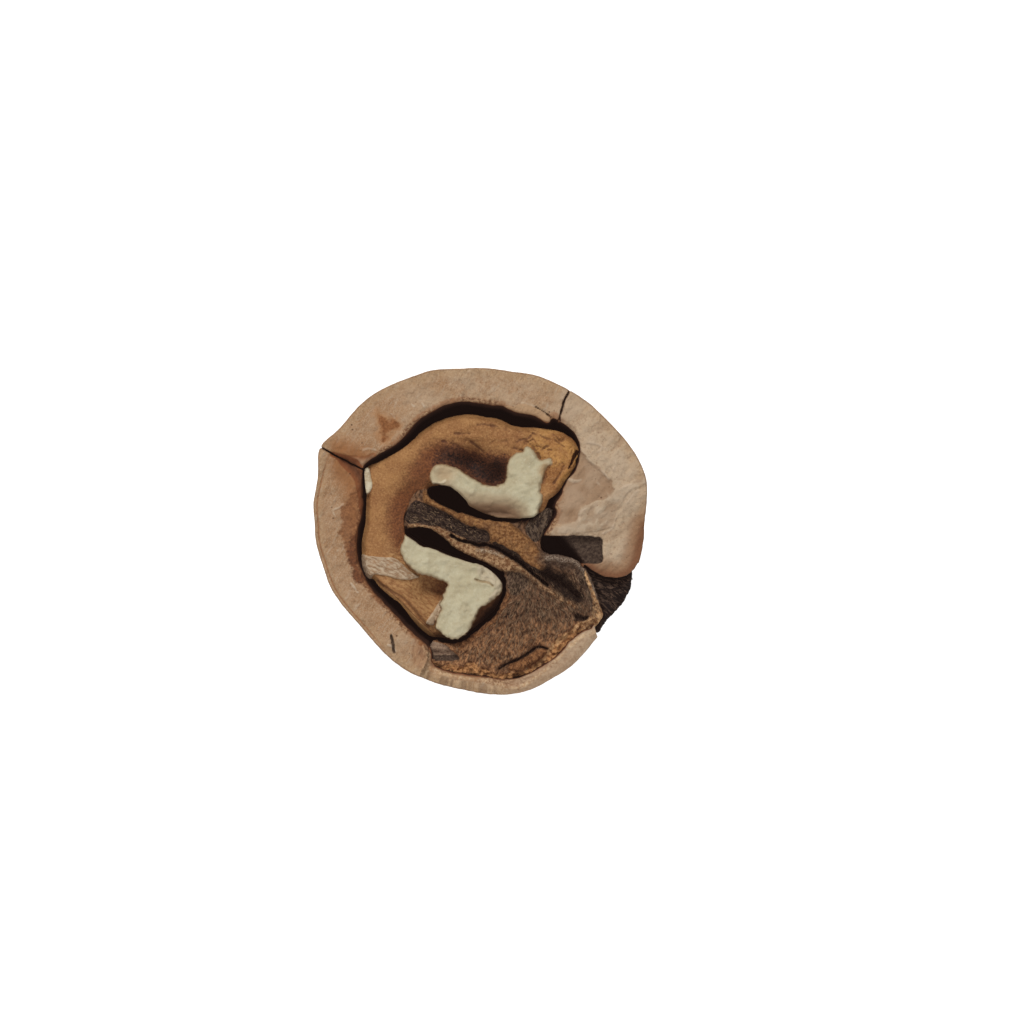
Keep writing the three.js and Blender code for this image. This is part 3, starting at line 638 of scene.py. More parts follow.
def thinned(points, faces, most=MOST_TRIANGLES):
    """The surface in triangles, no more than a number of them."""
    count = 2 * len(faces)
    triangles = np.concatenate([faces[:, [0, 1, 2]], faces[:, [0, 2, 3]]])
    if count <= most:
        return points, triangles
    dense = bpy.data.objects.new("dense", bare_mesh("dense", points, triangles))
    bpy.context.scene.collection.objects.link(dense)
    fewer = dense.modifiers.new("fewer", "DECIMATE")
    fewer.ratio = most / count
    thin = dense.evaluated_get(bpy.context.evaluated_depsgraph_get()).to_mesh()
    spots = np.empty(3 * len(thin.vertices), np.float32)
    thin.vertices.foreach_get("co", spots)
    corners = np.empty(3 * len(thin.polygons), np.int32)
    thin.loops.foreach_get("vertex_index", corners)
    bpy.data.objects.remove(dense)
    return spots.reshape(-1, 3) / MM, corners.reshape(-1, 3)


def strands(seed, edge, top, within, count, heading, spread, lengths, radii, bent=25, lifted=0.06):
    """Thin tapering fibres of three sides that lie on a drawn top and end within its edge.

    Gives their points and triangles, and for each point a tint from 0.3 to 1.
    """
    chance = np.random.default_rng(seed)
    spots = np.argwhere(edge < within)
    spots = spots[chance.integers(0, len(spots), count)]
    x, y = plan_axis[spots.T] + chance.uniform(-0.5, 0.5, (2, count)) * STEP
    heading = heading[tuple(spots.T)] if isinstance(heading, np.ndarray) else heading
    turn = np.radians(heading + chance.normal(0, spread, count))
    length = chance.uniform(*lengths, count)
    radius = chance.uniform(*radii, count)
    steps = np.linspace(0, 1, STRAND_RINGS)
    bend = np.radians(chance.normal(0, bent, count))
    way = turn[:, None] + bend[:, None] * (steps - 0.5)
    stretches = STRAND_RINGS - 1
    px = x[:, None] + np.cumsum(np.cos(way), axis=1) * length[:, None] / stretches
    py = y[:, None] + np.cumsum(np.sin(way), axis=1) * length[:, None] / stretches
    lift = chance.uniform(0, lifted, count)[:, None] * np.sin(np.pi * steps)
    pz = read_plan(top, px, py) + 0.4 * radius[:, None] + lift
    kept = read_plan(edge, px, py).max(axis=1) < within + 0.04
    px, py, pz, way, radius = px[kept], py[kept], pz[kept], way[kept], radius[kept]
    count = len(radius)
    thick = radius[:, None] * np.sin(np.pi * (0.03 + 0.94 * steps))
    rings = []
    for angle in (0.5, 2.6, 4.7):
        aside = thick * math.cos(angle)
        up = thick * math.sin(angle)
        rings.append(np.stack([px - np.sin(way) * aside, py + np.cos(way) * aside, pz + up], -1))
    points = np.stack(rings, 2).reshape(-1, 3)
    first = (np.arange(count)[:, None] * STRAND_RINGS + np.arange(stretches)) * 3
    faces = []
    for side in range(3):
        a, b = first + side, first + (side + 1) % 3
        faces += [np.stack([a, a + 3, b], -1), np.stack([b, a + 3, b + 3], -1)]
    tint = np.repeat(chance.uniform(0.3, 1, count), 3 * STRAND_RINGS)
    return points, np.concatenate([part.reshape(-1, 3) for part in faces]), tint


def joined(points, faces, *bundles):
    """A surface and bundles of strands as one mesh, with each point's tint, 0 on the surface."""
    tint = np.zeros(len(points))
    for more_points, more_faces, more_tint in bundles:
        faces = np.concatenate([faces, more_faces + len(points)])
        points = np.concatenate([points, more_points])
        tint = np.concatenate([tint, more_tint])
    return points, faces, tint


def zones_at(drawn, points):
    """What a drawing's zones say at a piece's points, and how far each lies below the drawn top."""
    x, y, z = points.T
    zones = {name: read_plan(drawing, x, y) for name, drawing in drawn.zones.items()}
    zones["below"] = read_plan(drawn.top, x, y) - z
    return zones


def make_piece(name, points, faces, node, finish, zones):
    """An object from a surface in millimetres, whose material reads the zones, a number for each point."""
    print(name, len(faces), "triangles")
    piece = bpy.data.objects.new(name, bare_mesh(name, points, faces))
    bpy.context.scene.collection.objects.link(piece)
    for zone, values in zones.items():
        kept = piece.data.attributes.new(zone, "FLOAT", "POINT")
        kept.data.foreach_set("value", np.asarray(values, np.float32).ravel())
    piece.data.materials.append(finish)
    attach(piece, "root")
    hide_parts(node)


# The shell

def rim_radius(bearing):
    """How far the shell stands out at a bearing in degrees."""
    ring = RIM_RADII + [(360, RIM_RADII[0][1])]
    bearing = np.mod(bearing, 360)
    radius = np.zeros_like(bearing)
    for (start, low), (end, high) in zip(ring[:-1], ring[1:]):
        here = (bearing >= start) & (bearing < end)
        radius[here] = low + (high - low) * ease(start, end, bearing[here])
    return radius


def grooves(x, y, z):
    """The net of grooves on the shell, from 0 between them to 1 in them."""
    bearing = np.arctan2(y, x)
    wander = 1.5 * np.sin(0.32 * z + 2 * bearing) + 0.8 * np.sin(0.75 * z - 5 * bearing + 1)
    down = np.sin(GROOVES_AROUND * bearing + wander)
    rings = 2 * math.pi * GROOVE_RINGS_PER_MM * z
    across = np.sin(rings + 1.7 * np.sin(4 * bearing + 0.4 * z) + bearing)
    fade = ease(*SMOOTH_BASE_RADII, np.hypot(x, y)) * (1 - ease(*SMOOTH_RIM_HEIGHTS, z))
    return fade * np.maximum(hump(down, 0.4), 0.6 * hump(across, 0.3))


def beside_suture(x, y):
    """How far places lie behind the plane of the suture, with less than 0 in front of it."""
    return y * math.cos(SUTURE_BEARING) - x * math.sin(SUTURE_BEARING)


def outside(x, y, z):
    """How far places lie outside the nut's round surface."""
    up = z - EQUATOR_Z
    away = np.sqrt(x * x + y * y + up * up) + 1e-4
    level = np.hypot(x, y) / away
    ball = 1 / np.hypot(level / HALF_WIDTH, up / away / HALF_LENGTH)
    stand = 1 + (rim_radius(np.degrees(np.arctan2(y, x))) / HALF_WIDTH - 1) * level ** 2
    shrink = ball / away
    keel = KEEL_HEIGHT * level * hump(shrink * beside_suture(x, y), KEEL_REACH)
    radius = ball * stand + keel - GROOVE_DEPTH * grooves(x, y, z)
    return away - radius


def in_cavity_ball(x, y, z, drawn_in=0.0):
    """Less than 0 inside the cavity's round floor."""
    a, b, c = (half - drawn_in for half in CAVITY_HALF)
    cx, cy, cz = CAVITY_CENTRE
    stretch = np.sqrt(((x - cx) / a) ** 2 + ((y - cy) / b) ** 2 + ((z - cz) / c) ** 2)
    return (stretch - 1) * c


def mark_break():
    """The zones of the broken face: most say how far each plan point lies outside a mark."""
    return {
        "inner": torn(CAVITY, 11, 0.05, 0.8),
        "left_slope": torn(LEFT_SLOPE, 12, 0.05, 0.8),
        "corner_slope": torn(CORNER_SLOPE, 13, 0.08, 0.8),
        "left_stain": torn(LEFT_STAIN, 14, 0.28, 1.0),
        "dark_stain": torn(DARK_STAIN, 15, 0.22, 0.7),
        "stain": torn(STAIN, 16, 0.3, 0.7),
        "low_face": torn(LOW_FACE, 17, 0.22, 0.8),
        "pale_face": torn(PALE_FACE, 18, 0.15, 1.0),
        "lip": torn(LIP, 19, 0.06, 0.5),
        "pit": torn(PIT, 20, 0.07, 0.6),
        "scar": from_line(SCAR) + 0.04 * noise(25, 0.3, PX, PY),
        "lower_edge": from_line(LOWER_EDGE),
        "crests": from_lines(CRESTS) + 0.05 * rough(26, 0.4, PX, PY) + 0.12 * (1 + noise(50, 0.8, PX, PY)),
        "scales": from_lines(SCALES, 1.0) + 0.05 * noise(27, 0.3, PX, PY),
        "fluted": from_lines([FLUTED_RING, BREAK_LINE]),
        "broken_corner": np.hypot(PX + 6.5, (PY + 13) / 2),
        "border": rim_radius(np.degrees(np.arctan2(PY, PX))) - np.hypot(PX, PY),
        "pit_side": (PX - 8.9) * 0.8 + (PY + 0.6) * 0.6,
        "leftward": -PX,
        "creased": ease(-8, -13, PX) * ease(10, 5, PY),
    }


def wavy_rim():
    """The broken face's height before its details."""
    rim = RIM_Z + swell((-17, 9.5), (-13, 8), 0.5, 3) + swell((-4, 17), (4, 17), 0.3, 5)
    rim += swell((-17, 3), (-16, -5), -0.3, 4) + swell((15, -4), (17, -1), -0.8, 4)
    rim += swell((12, 10), (10, 3), 0.35, 3) + swell((-10, -12), (-7, -15), 0.3, 3)
    return rim + (0.14 * rough(31, 2.6, PX, PY) + 0.03 * rough(32, 0.5, PX, PY))


def flaked_rim(rim, zones):
    """The rim with steps and flakes at its right, and fine ribs and scales elsewhere."""
    along, across = turned(50, PX, PY)
    right = ease(7, 9.5, PX)
    steps = np.round(2.5 * rough(33, 1.3, along / 1.7, across) + 0.3 * noise(38, 0.4, PX, PY))
    steps *= ease(-0.2, 0.4, zones["low_face"])
    zones["flaked"] = right * steps
    rim = rim + right * (0.07 * steps + 0.06 * rough(34, 0.6, along / 2, across))
    rim += 0.05 * noise(39, (1.4, 0.18), *turned(62, PX, PY)) * (1 - right)
    rim += 0.05 * np.round(2 * rough(44, 1.0, PX, PY)) * (1 - right)
    rim += 0.14 * hump(zones["crests"], 0.15) + 0.14 * hump(zones["scales"], 0.12)
    rim -= 0.16 * zones["creased"] * hump(zones["border"] - 0.5 - 0.1 * noise(45, 2, PX, PY), 0.1)
    rim -= 0.18 * ease(0.16, -0.16, zones["low_face"]) * (1 - 0.8 * ease(9.5, 7.5, PX - 0.4 * PY))
    rim += 0.15 * ease(0.1, -0.1, zones["pale_face"])
    return rim + 0.2 * hump(from_line(RIDGE), 0.2)


def sloping_rim(rim, zones):
    """The rim with its slopes into the cavity at the left, its crumbled inner edge and its lip."""
    left, corner = zones["left_slope"], zones["corner_slope"]
    rim = rim - (0.12 * ease(0.05, -0.06, left) + 1.1 * np.clip(-left, 0, 1.3))
    rim -= 0.08 * ease(0.05, -0.06, corner) + 0.3 * np.clip(-corner, 0, 0.7)
    rim -= 0.12 * ease(0.3, -0.3, zones["left_stain"])
    rim -= 0.12 * ease(0.25, 0.0, zones["inner"]) ** 2
    rim += 0.12 * noise(78, (0.35, 1.6), *turned(-8, PX, PY)) * ease(1.2, 0.5, zones["broken_corner"])
    crumbly = ease(0.9, 0.1, zones["inner"]) * ease(-0.4, 0.5, noise(47, 2.2, PX, PY) + 0.3)
    crumbly *= 1 - 0.85 * ease(7.8, 9, PX)
    zones["crumbly"] = crumbly
    rim += crumbly * 0.16 * rough(48, 0.45, PX, PY)
    return rim + 0.12 * ease(0.05, -0.1, zones["lip"])


def fluted_front(rim, zones):
    """The rim with the lower break at the front, which is fluted across and has a pale crest."""
    low = torn(LOW_RIM, 21, 0.05, 0.6)
    front = FRONT_RIM_Z + 0.06 * rough(35, 1.2, PX, PY)
    bearing = np.degrees(np.arctan2(PY, PX))
    flutes = noise(36, 1.1, bearing + 0.3 * noise(79, 0.6, PX, PY)) + 0.6 * noise(49, 0.5, bearing)
    fluting = ease(0.2, 0.5, zones["fluted"]) * ease(3.5, 0, PX) * (low < 0)
    front += 0.12 * flutes * fluting
    front += (0.09 + 0.07 * rough(77, 0.6, PX, PY)) * hump(zones["fluted"], 0.24)
    front -= 0.3 * ease(0.7, 0.05, zones["border"])
    zones["front_right"] = ease(0.1, -0.1, low) * ease(1.5, 5, PX)
    zones["flutes"] = flutes * fluting
    return np.where(low < 0, np.minimum(rim, front), rim)


def broken_rim(rim, zones):
    """The rim with the pit and the cracks broken into it."""
    floor = PIT_SILL_Z - PIT_DEPTH * ease(0.3, -0.8, zones["pit_side"]) + 0.08 * rough(37, 0.5, PX, PY)
    rim = rim + (np.minimum(rim, floor) - rim) * ease(0.06, -0.1, zones["pit"])
    crack = from_line(UPPER_CRACK) + 0.03 * noise(23, 0.4, PX, PY)
    lip_crack = from_line(LIP_CRACK) + 0.03 * noise(24, 0.3, PX, PY)
    rim -= CRACK_DEPTH * ease(0.11, 0.04, np.minimum(crack, lip_crack + 0.055))
    return rim - SCAR_DEPTH * ease(0.16, 0.0, zones["scar"])


def draw_shell():
    """The shell in plan: the height of its broken face, its open suture and the zones that colour it."""
    zones = mark_break()
    rim = sloping_rim(flaked_rim(wavy_rim(), zones), zones)
    rim = broken_rim(fluted_front(rim, zones), zones)
    return SimpleNamespace(top=rim, notch=torn(NOTCH, 22, 0.03, 0.5), zones=zones)


def make_valve(name, node, side, room, drawn, finish):
    """One half of the shell, on one side of the suture."""
    x, y, z = room.places
    solid = both(outside(x, y, z), z - room.plan(drawn.top), 0.1)
    ledge = WALL_LEDGE * ease(0.1, 3.0, RIM_Z - z)
    hollow = both(room.plan(drawn.zones["inner"]) + ledge, in_cavity_ball(x, y, z), 0.8)
    solid = both(solid, -hollow, 0.07)
    solid = both(solid, -z)
    open_suture = both(room.plan(drawn.notch), NOTCH_FLOOR_Z - z)
    solid = both(solid, -open_suture, 0.1)
    wander = 0.08 * noise(41, 1.6, np.hypot(x, y), z) + 0.04 * noise(42, 0.5, np.hypot(x, y), z)
    parted = 0.02 + 0.08 * ease(18.0, 19.2, z)
    solid = both(solid, parted - side * (beside_suture(x, y) + wander), 0.06)
    points, faces = mesh_field(solid, room)
    px, py, pz = points.T
    weathered = 0.06 * ease(-1.2, -0.2, outside(px, py, pz))
    grain = 0.02 * rough(43, 0.5, px, py, pz) + weathered * rough(46, 1.2, px, py, pz) * ease(20, 17, pz)
    points += outward(points, faces) * (grain * (pz > FLAT_FOOT_Z))[:, None]
    points, faces = thinned(points, faces)
    px, py, pz = points.T
    zones = zones_at(drawn, points)
    zones.update(skin=-outside(px, py, pz), groove=grooves(px, py, pz))
    make_piece(name, points, faces, node, finish, zones)


# The seed

def skin_veins(edge, wrinkled, phase, split):
    """How deep the veins of the skin are, from 0 between them."""
    veins = ease(0.3, 0.05, np.abs(np.sin(1.3 * edge + 1.5 * phase)))
    veins = veins * ease(-0.3, 0.3, noise(62, 1.7, PX, PY) + 0.2)
    finer = ease(0.4, 0.05, np.abs(np.sin(3.2 * edge + 2.4 * rough(72, 1.3, PX, PY))))
    finer *= ease(-0.3, 0.3, noise(73, 1, PX, PY))
    veins = np.maximum(veins, 0.7 * finer) * (0.1 + wrinkled) * ease(0.1, 0.6, -edge)
    return np.maximum(veins, 1.5 * ease(0.14, 0.06, split))


def draw_skin(edge, split, zones):
    """How high the skin of the seed stands."""
    top = SKIN_Z - 0.07 * from_line(RING_CREST, 6) ** 2
    top += swell((-0.6, 7.6), (1.6, 6), -1.5, 1.7) + swell((-4, 8.2), (-1, 7.6), -0.6, 1.2)
    top += swell((-6, 2.4), (-7.5, 4), -0.5, 1.5)
    top += swell((-5.6, -6.4), (-4.4, -6.4), -1.7, 1.4) + swell((-10.6, -6), (-6.6, -10), 0.3, 0.9)
    beside_septum = np.minimum(1, swell((-8.5, 0), (-6.6, 4.4), 1.6, 1.0))
    crisp = np.maximum(0.6 * ease(5, 7, PX), 0.85 * ease(-6, -9, PX) * ease(5, 6.5, PY))
    top -= 0.9 * ease(0.8, 0.0, -edge) ** 2 * (1 - beside_septum) * (1 - crisp)
    phase = rough(61, 1.5, PX, PY)
    wrinkled = np.maximum(ease(2.6, 4.6, PX) * ease(3.6, 5.4, PY), 0.3 * ease(-4.6, -5.6, PY))
    wrinkled = np.maximum(wrinkled, 0.6 * ease(7.4, 9.6, PY) * ease(-7, -4, PX))
    zones["veins"] = skin_veins(edge, wrinkled, phase, split)
    top -= 0.14 * hump(zones["folds"], 0.13) * ease(0.1, 0.4, -edge)
    top += 0.06 * np.sin(2.6 * edge + 2.6 * phase) * (0.2 + wrinkled) - 0.15 * zones["veins"]
    top -= 0.3 * hump(zones["band"], 0.16) * ease(-5, -6.2, PY)
    top += 0.07 * rough(63, 1.4, PX, PY) + 0.03 * rough(64, 0.4, PX, PY)
    sheet = noise(65, (1.6, 0.16), *turned(-24, PX, PY))
    top += (0.32 + 0.05 * sheet + 0.1 * noise(66, 0.9, PX, PY)) * ease(0.03, -0.06, zones["flake"])
    return top + 0.35 * ease(0.03, -0.1, zones["small_flake"])


def draw_flesh(flesh, zones):
    """How high the broken flesh of the lobes stands."""
    face = FLESH_Z + 0.16 * rough(67, 1.3, PX, PY) + 0.05 * rough(68, 0.45, PX, PY)
    face += swell((4.6, 7.5), (5.4, 4.5), 0.25, 1.8) + swell((-5, 6), (-4.2, 6), -0.4, 1.3)
    fall = np.clip((0.1 - zones["south"]) / 2.5, 0, 1)
    face -= FLESH_FALL * (1 - np.sqrt(1 - 0.98 * fall ** 2))
    rind = ease(0.1, -0.2, zones["rind"])
    face += rind * (0.2 * rough(69, 0.6, PX, PY) - 0.12) - 0.3 * ease(0.14, 0.02, zones["crease"])
    return face - (0.28 + 0.1 * rough(76, 0.7, PX, PY)) * ease(-0.5, 0.0, flesh) ** 2


def draw_kernel():
    """The kernel in plan: its edge, its height and the zones that colour it."""
    edge = torn(KERNEL, 51, 0.04, 0.8)
    flesh = np.minimum(torn(UPPER_FLESH, 52, 0.08, 0.32), torn(LOWER_FLESH, 53, 0.09, 0.32))
    split = from_line(SPLIT) + 0.11 * ease(7.4, 6.4, PY) - 0.08 * ease(7.4, 8.3, PY)
    zones = {
        "flesh": flesh,
        "corner": torn(WHITE_CORNER, 54, 0.03, 0.4),
        "flake": torn(FLAKE, 55, 0.04, 0.4),
        "small_flake": torn(SMALL_FLAKE, 56, 0.03, 0.4),
        "hollow": torn(HOLLOW, 57, 0.25, 1.0),
        "south": from_outline(SOUTH_WALL),
        "rind": torn(RIND, 74, 0.06, 0.5),
        "crease": from_line(CREASE) + 0.05 * noise(75, 0.4, PX, PY),
        "folds": from_lines(FOLDS) + 0.06 * rough(67, 0.5, PX, PY),
        "lit_flesh_rim": from_line(LIT_FLESH_RIM) + 0.04 * noise(68, 0.3, PX, PY),
        "pocket_skin": torn(POCKET_SKIN, 58, 0.03, 0.5),
        "shaded": from_line(SHADED_SKIN, 4) + 0.3 * rough(59, 1.0, PX, PY),
        "band": from_line(BAND_CREASE, 4) * np.where(PX + PY < -16.2, -1, 1),
        "notch_side": np.hypot(PX + 4.2, PY + 6.3) + 0.2 * rough(60, 0.8, PX, PY),
    }
    top = draw_skin(edge, split, zones)
    raised = ease(0.04, -0.12, flesh)
    top += (draw_flesh(flesh, zones) - top) * raised
    top += (WHITE_CORNER_Z - top) * ease(0.04, -0.08, zones["corner"])
    wall = ease(0.1, -0.1, zones["pocket_skin"]) * (1 - raised)
    top -= wall * (0.5 + 1.6 * np.clip(flesh, 0, 2)) + SPLIT_DEPTH * ease(0.13, 0.05, split)
    top -= 0.2 * ease(0.3, 0.0, -edge) * raised
    top += 0.12 * raised * hump(zones["lit_flesh_rim"], 0.15)
    return SimpleNamespace(edge=edge, top=top, zones=zones)


def make_kernel(finish):
    drawn = draw_kernel()
    room = Room((-13.4, 11.0), (-12.5, 13.2), (3.0, 21.0))
    x, y, z = room.places
    solid = both(room.plan(drawn.edge), z - room.plan(drawn.top), 0.12)
    solid = both(solid, in_cavity_ball(x, y, z, GAP), 0.3)
    points, faces = mesh_field(solid, room)
    points += outward(points, faces) * (0.015 * rough(71, 0.4, *points.T))[:, None]
    points, faces = thinned(points, faces)
    make_piece("walnut_kernel", points, faces, "kernel", finish, zones_at(drawn, points))


# The septum and its spongy foot

def mark_septum():
    """The zones of the septum: most say how far each plan point lies outside a mark."""
    return {
        "core": torn(CORE, 82, 0.08, 0.5),
        "upper": torn(UPPER_BAND, 83, 0.07, 0.45),
        "lower": torn(LOWER_BAND, 84, 0.09, 0.4),
        "strip": torn(GREY_STRIP, 85, 0.08, 0.35),
        "patch": torn(GREY_PATCH, 86, 0.12, 0.5),
        "valley": torn(VALLEY, 87, 0.16, 0.7),
        "wing": torn(WING, 88, 0.04, 0.4),
        "tan": torn(TAN_RIDGE, 89, 0.09, 0.5),
        "lens": torn(LENS_FOLD, 90, 0.05, 0.5),
        "facet": torn(FACET, 91, 0.04, 0.5),
        "spongy": torn(SPONGY, 92, 0.12, 0.6),
        "holes": torn(HOLE, 93, 0.1, 0.5),
        "slit": from_line(SLIT) + 0.06 * rough(94, 0.35, PX, PY),
        "sheet": from_line(SHEET_CREST) + 0.1 * rough(95, 0.4, PX, PY),
        "lower_crest": from_line(LOWER_CREST) + 0.12 * rough(96, 0.5, PX, PY),
        "ledge": from_line(LEDGE) + 0.04 * rough(97, 0.4, PX, PY),
        "pocket_rim": from_line(POCKET_RIM) + 0.15 * rough(98, 0.5, PX, PY),
        "gap_line": from_line(WING_EDGE),
        "brownish": ease(-8.5, -12, PY),
        "rightward": PX,
        "facet_low": -13.4 + 0.1 * noise(100, 0.5, PX, PY) - PY,
        "pale_crumbs": from_line(PALE_CRUMBS) + 0.1 * rough(99, 0.3, PX, PY),
    }


def draw_septum():
    """The septum in plan: its edge, its height and the zones that colour it."""
    edge = torn(SEPTUM, 81, 0.07, 0.5)
    zones = mark_septum()
    lumps = rough(101, 0.9, PX, PY)
    fine = rough(102, 0.28, PX, PY, layers=2)
    tangle = noise(103, (1.5, 0.2), *turned(62, PX, PY)) + noise(104, (1.2, 0.18), *turned(105, PX, PY))
    foot = ease(-3.2, -5, PY)
    top = PACKING_Z + 0.16 * rough(105, 1.8, PX, PY) + foot * (0.2 * lumps + 0.12 * tangle + 0.1 * fine)
    top += (PACKING_Z + 0.12 * tangle - top) * ease(0.1, -0.3, zones["core"])
    half = 0.55 + 1.1 * ease(-4, 3, PX)
    bulge = np.sqrt(np.clip(1 - (from_line(UPPER_BAND_CREST, 4) / (half + 0.5)) ** 2, 0, 1))
    band = UPPER_BAND_Z + 1.35 * bulge + 0.1 * lumps
    top += (np.maximum(band, top - 0.5) - top) * ease(0.1, -0.2, zones["upper"])
    top += (LOWER_BAND_Z + 0.12 * lumps - top) * ease(0.1, -0.2, zones["lower"])
    top -= 0.35 * ease(0.15, -0.2, zones["strip"]) - 0.08 * tangle * ease(0.1, -0.1, zones["strip"])
    top -= 0.2 * ease(0.2, -0.3, zones["patch"])
    top += (0.55 + 0.15 * lumps) * hump(zones["lower_crest"], 0.3)
    top -= SLIT_DEPTH * ease(0.24, 0.05, zones["slit"])
    top -= VALLEY_DEPTH * ease(0.4, -1.4, zones["valley"])
    top += (0.7 + 0.15 * fine) * hump(zones["sheet"], 0.4) + 0.5 * ease(1.6, 0.2, zones["sheet"])
    along_wing = (PX - 5) * 0.5 + PY * 0.2
    top += (WING_Z + 0.5 * along_wing + 0.06 * tangle - top) * ease(0.05, -0.15, zones["wing"])
    top += (0.5 + 0.12 * lumps) * ease(0.2, -0.3, zones["tan"])
    top -= 0.35 * ease(0.3, -0.3, zones["spongy"]) - 0.14 * fine * ease(0.2, -0.2, zones["spongy"])
    top -= LEDGE_DEPTH * hump(zones["ledge"], 0.15)
    top += 0.4 * ease(0.08, -0.5, zones["lens"]) + 0.15 * hump(zones["pale_crumbs"], 0.2)
    top += (FACET_Z - 0.5 * ease(-12.7, -13.3, PY) - top) * ease(0.06, -0.08, zones["facet"])
    top -= HOLE_DEPTH * ease(0.1, -0.5, zones["holes"])
    top += 0.05 * fine - 0.25 * ease(0.3, 0.0, -edge) ** 2
    return SimpleNamespace(edge=edge, top=np.minimum(top, SEPTUM_TOP_Z + 0.1 * lumps), zones=zones)


def septum_strands(drawn):
    """The matted fibres of the foot, the flecks in the dark core and the few fibres on the wing."""
    zones = drawn.zones
    foot = np.max([drawn.edge + 0.3, -zones["spongy"], PY + 4.2, -zones["facet"]], axis=0)
    foot = np.max([foot, -zones["lens"] - 0.1, -0.3 - zones["valley"]], axis=0)
    lying = 66 + 48 * ease(3, 8, PX) * ease(-12.5, -9, PY)
    dark_part = np.minimum(zones["core"], zones["strip"])
    matted = strands(107, foot, drawn.top, within=0, count=1700, heading=lying, spread=20,
                     lengths=(0.3, 0.95), radii=(0.025, 0.06))
    flecks = strands(108, dark_part, drawn.top, within=-0.1, count=220, heading=-30, spread=25,
                     lengths=(0.15, 0.5), radii=(0.035, 0.07))
    on_wing = strands(109, zones["wing"], drawn.top, within=-0.1, count=50, heading=60, spread=24,
                      lengths=(0.3, 0.8), radii=(0.02, 0.05))
    return matted, flecks, on_wing


def make_septum(finish):
    drawn = draw_septum()
    room = Room((-8.8, 14.0), (-16.9, 5.2), (3.0, 20.6))
    x, y, z = room.places
    solid = both(room.plan(drawn.edge), z - room.plan(drawn.top), 0.1)
    solid = both(solid, in_cavity_ball(x, y, z, SEPTUM_GAP), 0.3)
    points, faces = mesh_field(solid, room)
    points += outward(points, faces) * (0.05 * rough(106, 0.45, *points.T))[:, None]
    points, faces = thinned(points, faces, SEPTUM_TRIANGLES)
    points, faces, strand = joined(points, faces, *septum_strands(drawn))
    zones = zones_at(drawn, points)
    zones["strand"] = strand
    make_piece("walnut_septum", points, faces, "septum", finish, zones)


def make_fibres(finish):
    edge = torn(FIBRES, 111, 0.05, 0.3)
    along, across = turned(-38, PX, PY)
    top = FIBRES_Z - 0.2 * (PX - 12.5) - 0.5 * ease(1.2, 0, -edge)
    top += 0.26 * noise(112, (1.8, 0.34), along, across) + 0.2 * noise(113, (1.1, 0.2), along, across)
    room = Room((11.0, 18.0), (-12.2, -3.4), (NOTCH_FLOOR_Z, 19.6), fine_from=12.0)
    x, y, z = room.places
    solid = both(room.plan(edge), z - room.plan(top), 0.1)
    solid = both(solid, NOTCH_FLOOR_Z + GAP - z)
    solid = both(solid, outside(x, y, z) + 0.05)
    points, faces = mesh_field(solid, room)
    points += outward(points, faces) * (0.07 * noise(114, (0.25, 0.25, 1.2), *points.T))[:, None]
    points, faces = thinned(points, faces, FIBRES_TRIANGLES)
    lying = -14 - 50 * np.clip((-5.2 - PY) / 5.5, 0, 1)
    loose = strands(115, edge, top, within=-0.05, count=900, heading=lying, spread=15,
                    lengths=(0.5, 1.7), radii=(0.045, 0.12))
    points, faces, strand = joined(points, faces, loose)
    make_piece("walnut_suture_fibres", points, faces, "suture_fibres", finish, {"strand": strand})


# Finishes: colours are given as they show in this light, in red, green and blue from 0 to 255. In the
# functions that build one, f is the finish and g holds the grains that make it uneven.

def tone(red, green, blue):
    """The surface's own colour for one that shows."""
    shown = np.array([red, green, blue]) / 255
    linear = np.where(shown <= 0.04045, shown / 12.92, ((shown + 0.055) / 1.055) ** 2.4)
    return (*(float(part) / LIGHT for part in linear), 1.0)


# A faint painted glow in every surface, which lifts the deepest shade above black
PAINTED_GLOW = {"Emission_Color": (0.0085, 0.0048, 0.0040, 1), "Emission_Strength": 1.0}


class Wire:
    """One output of a node. Python's operators on it add Math nodes to the same finish."""

    def __init__(self, finish, socket):
        self.finish = finish
        self.socket = socket

    def math(self, operation, first, second):
        return self.finish.node("ShaderNodeMath", {"operation": operation}, {0: first, 1: second})

    def __add__(self, other):
        return self.math("ADD", self, other)

    __radd__ = __add__

    def __sub__(self, other):
        return self.math("SUBTRACT", self, other)

    def __rsub__(self, other):
        return self.math("SUBTRACT", other, self)

    def __mul__(self, other):
        return self.math("MULTIPLY", self, other)

    __rmul__ = __mul__

    def most(self, other):
        return self.math("MAXIMUM", self, other)

    def rise(self, low, high):
        """From 0 to 1 as this goes from low to high, slow at both ends."""
        sockets = {"Value": self, "From Min": low, "From Max": high}
        return self.finish.node("ShaderNodeMapRange", {"interpolation_type": "SMOOTHSTEP"}, sockets)

    def tinted(self, low, high, first, second):
        """One colour up to a low value of this, and another from a high one on."""
        return self.finish.mix(self.rise(low, high), first, second)


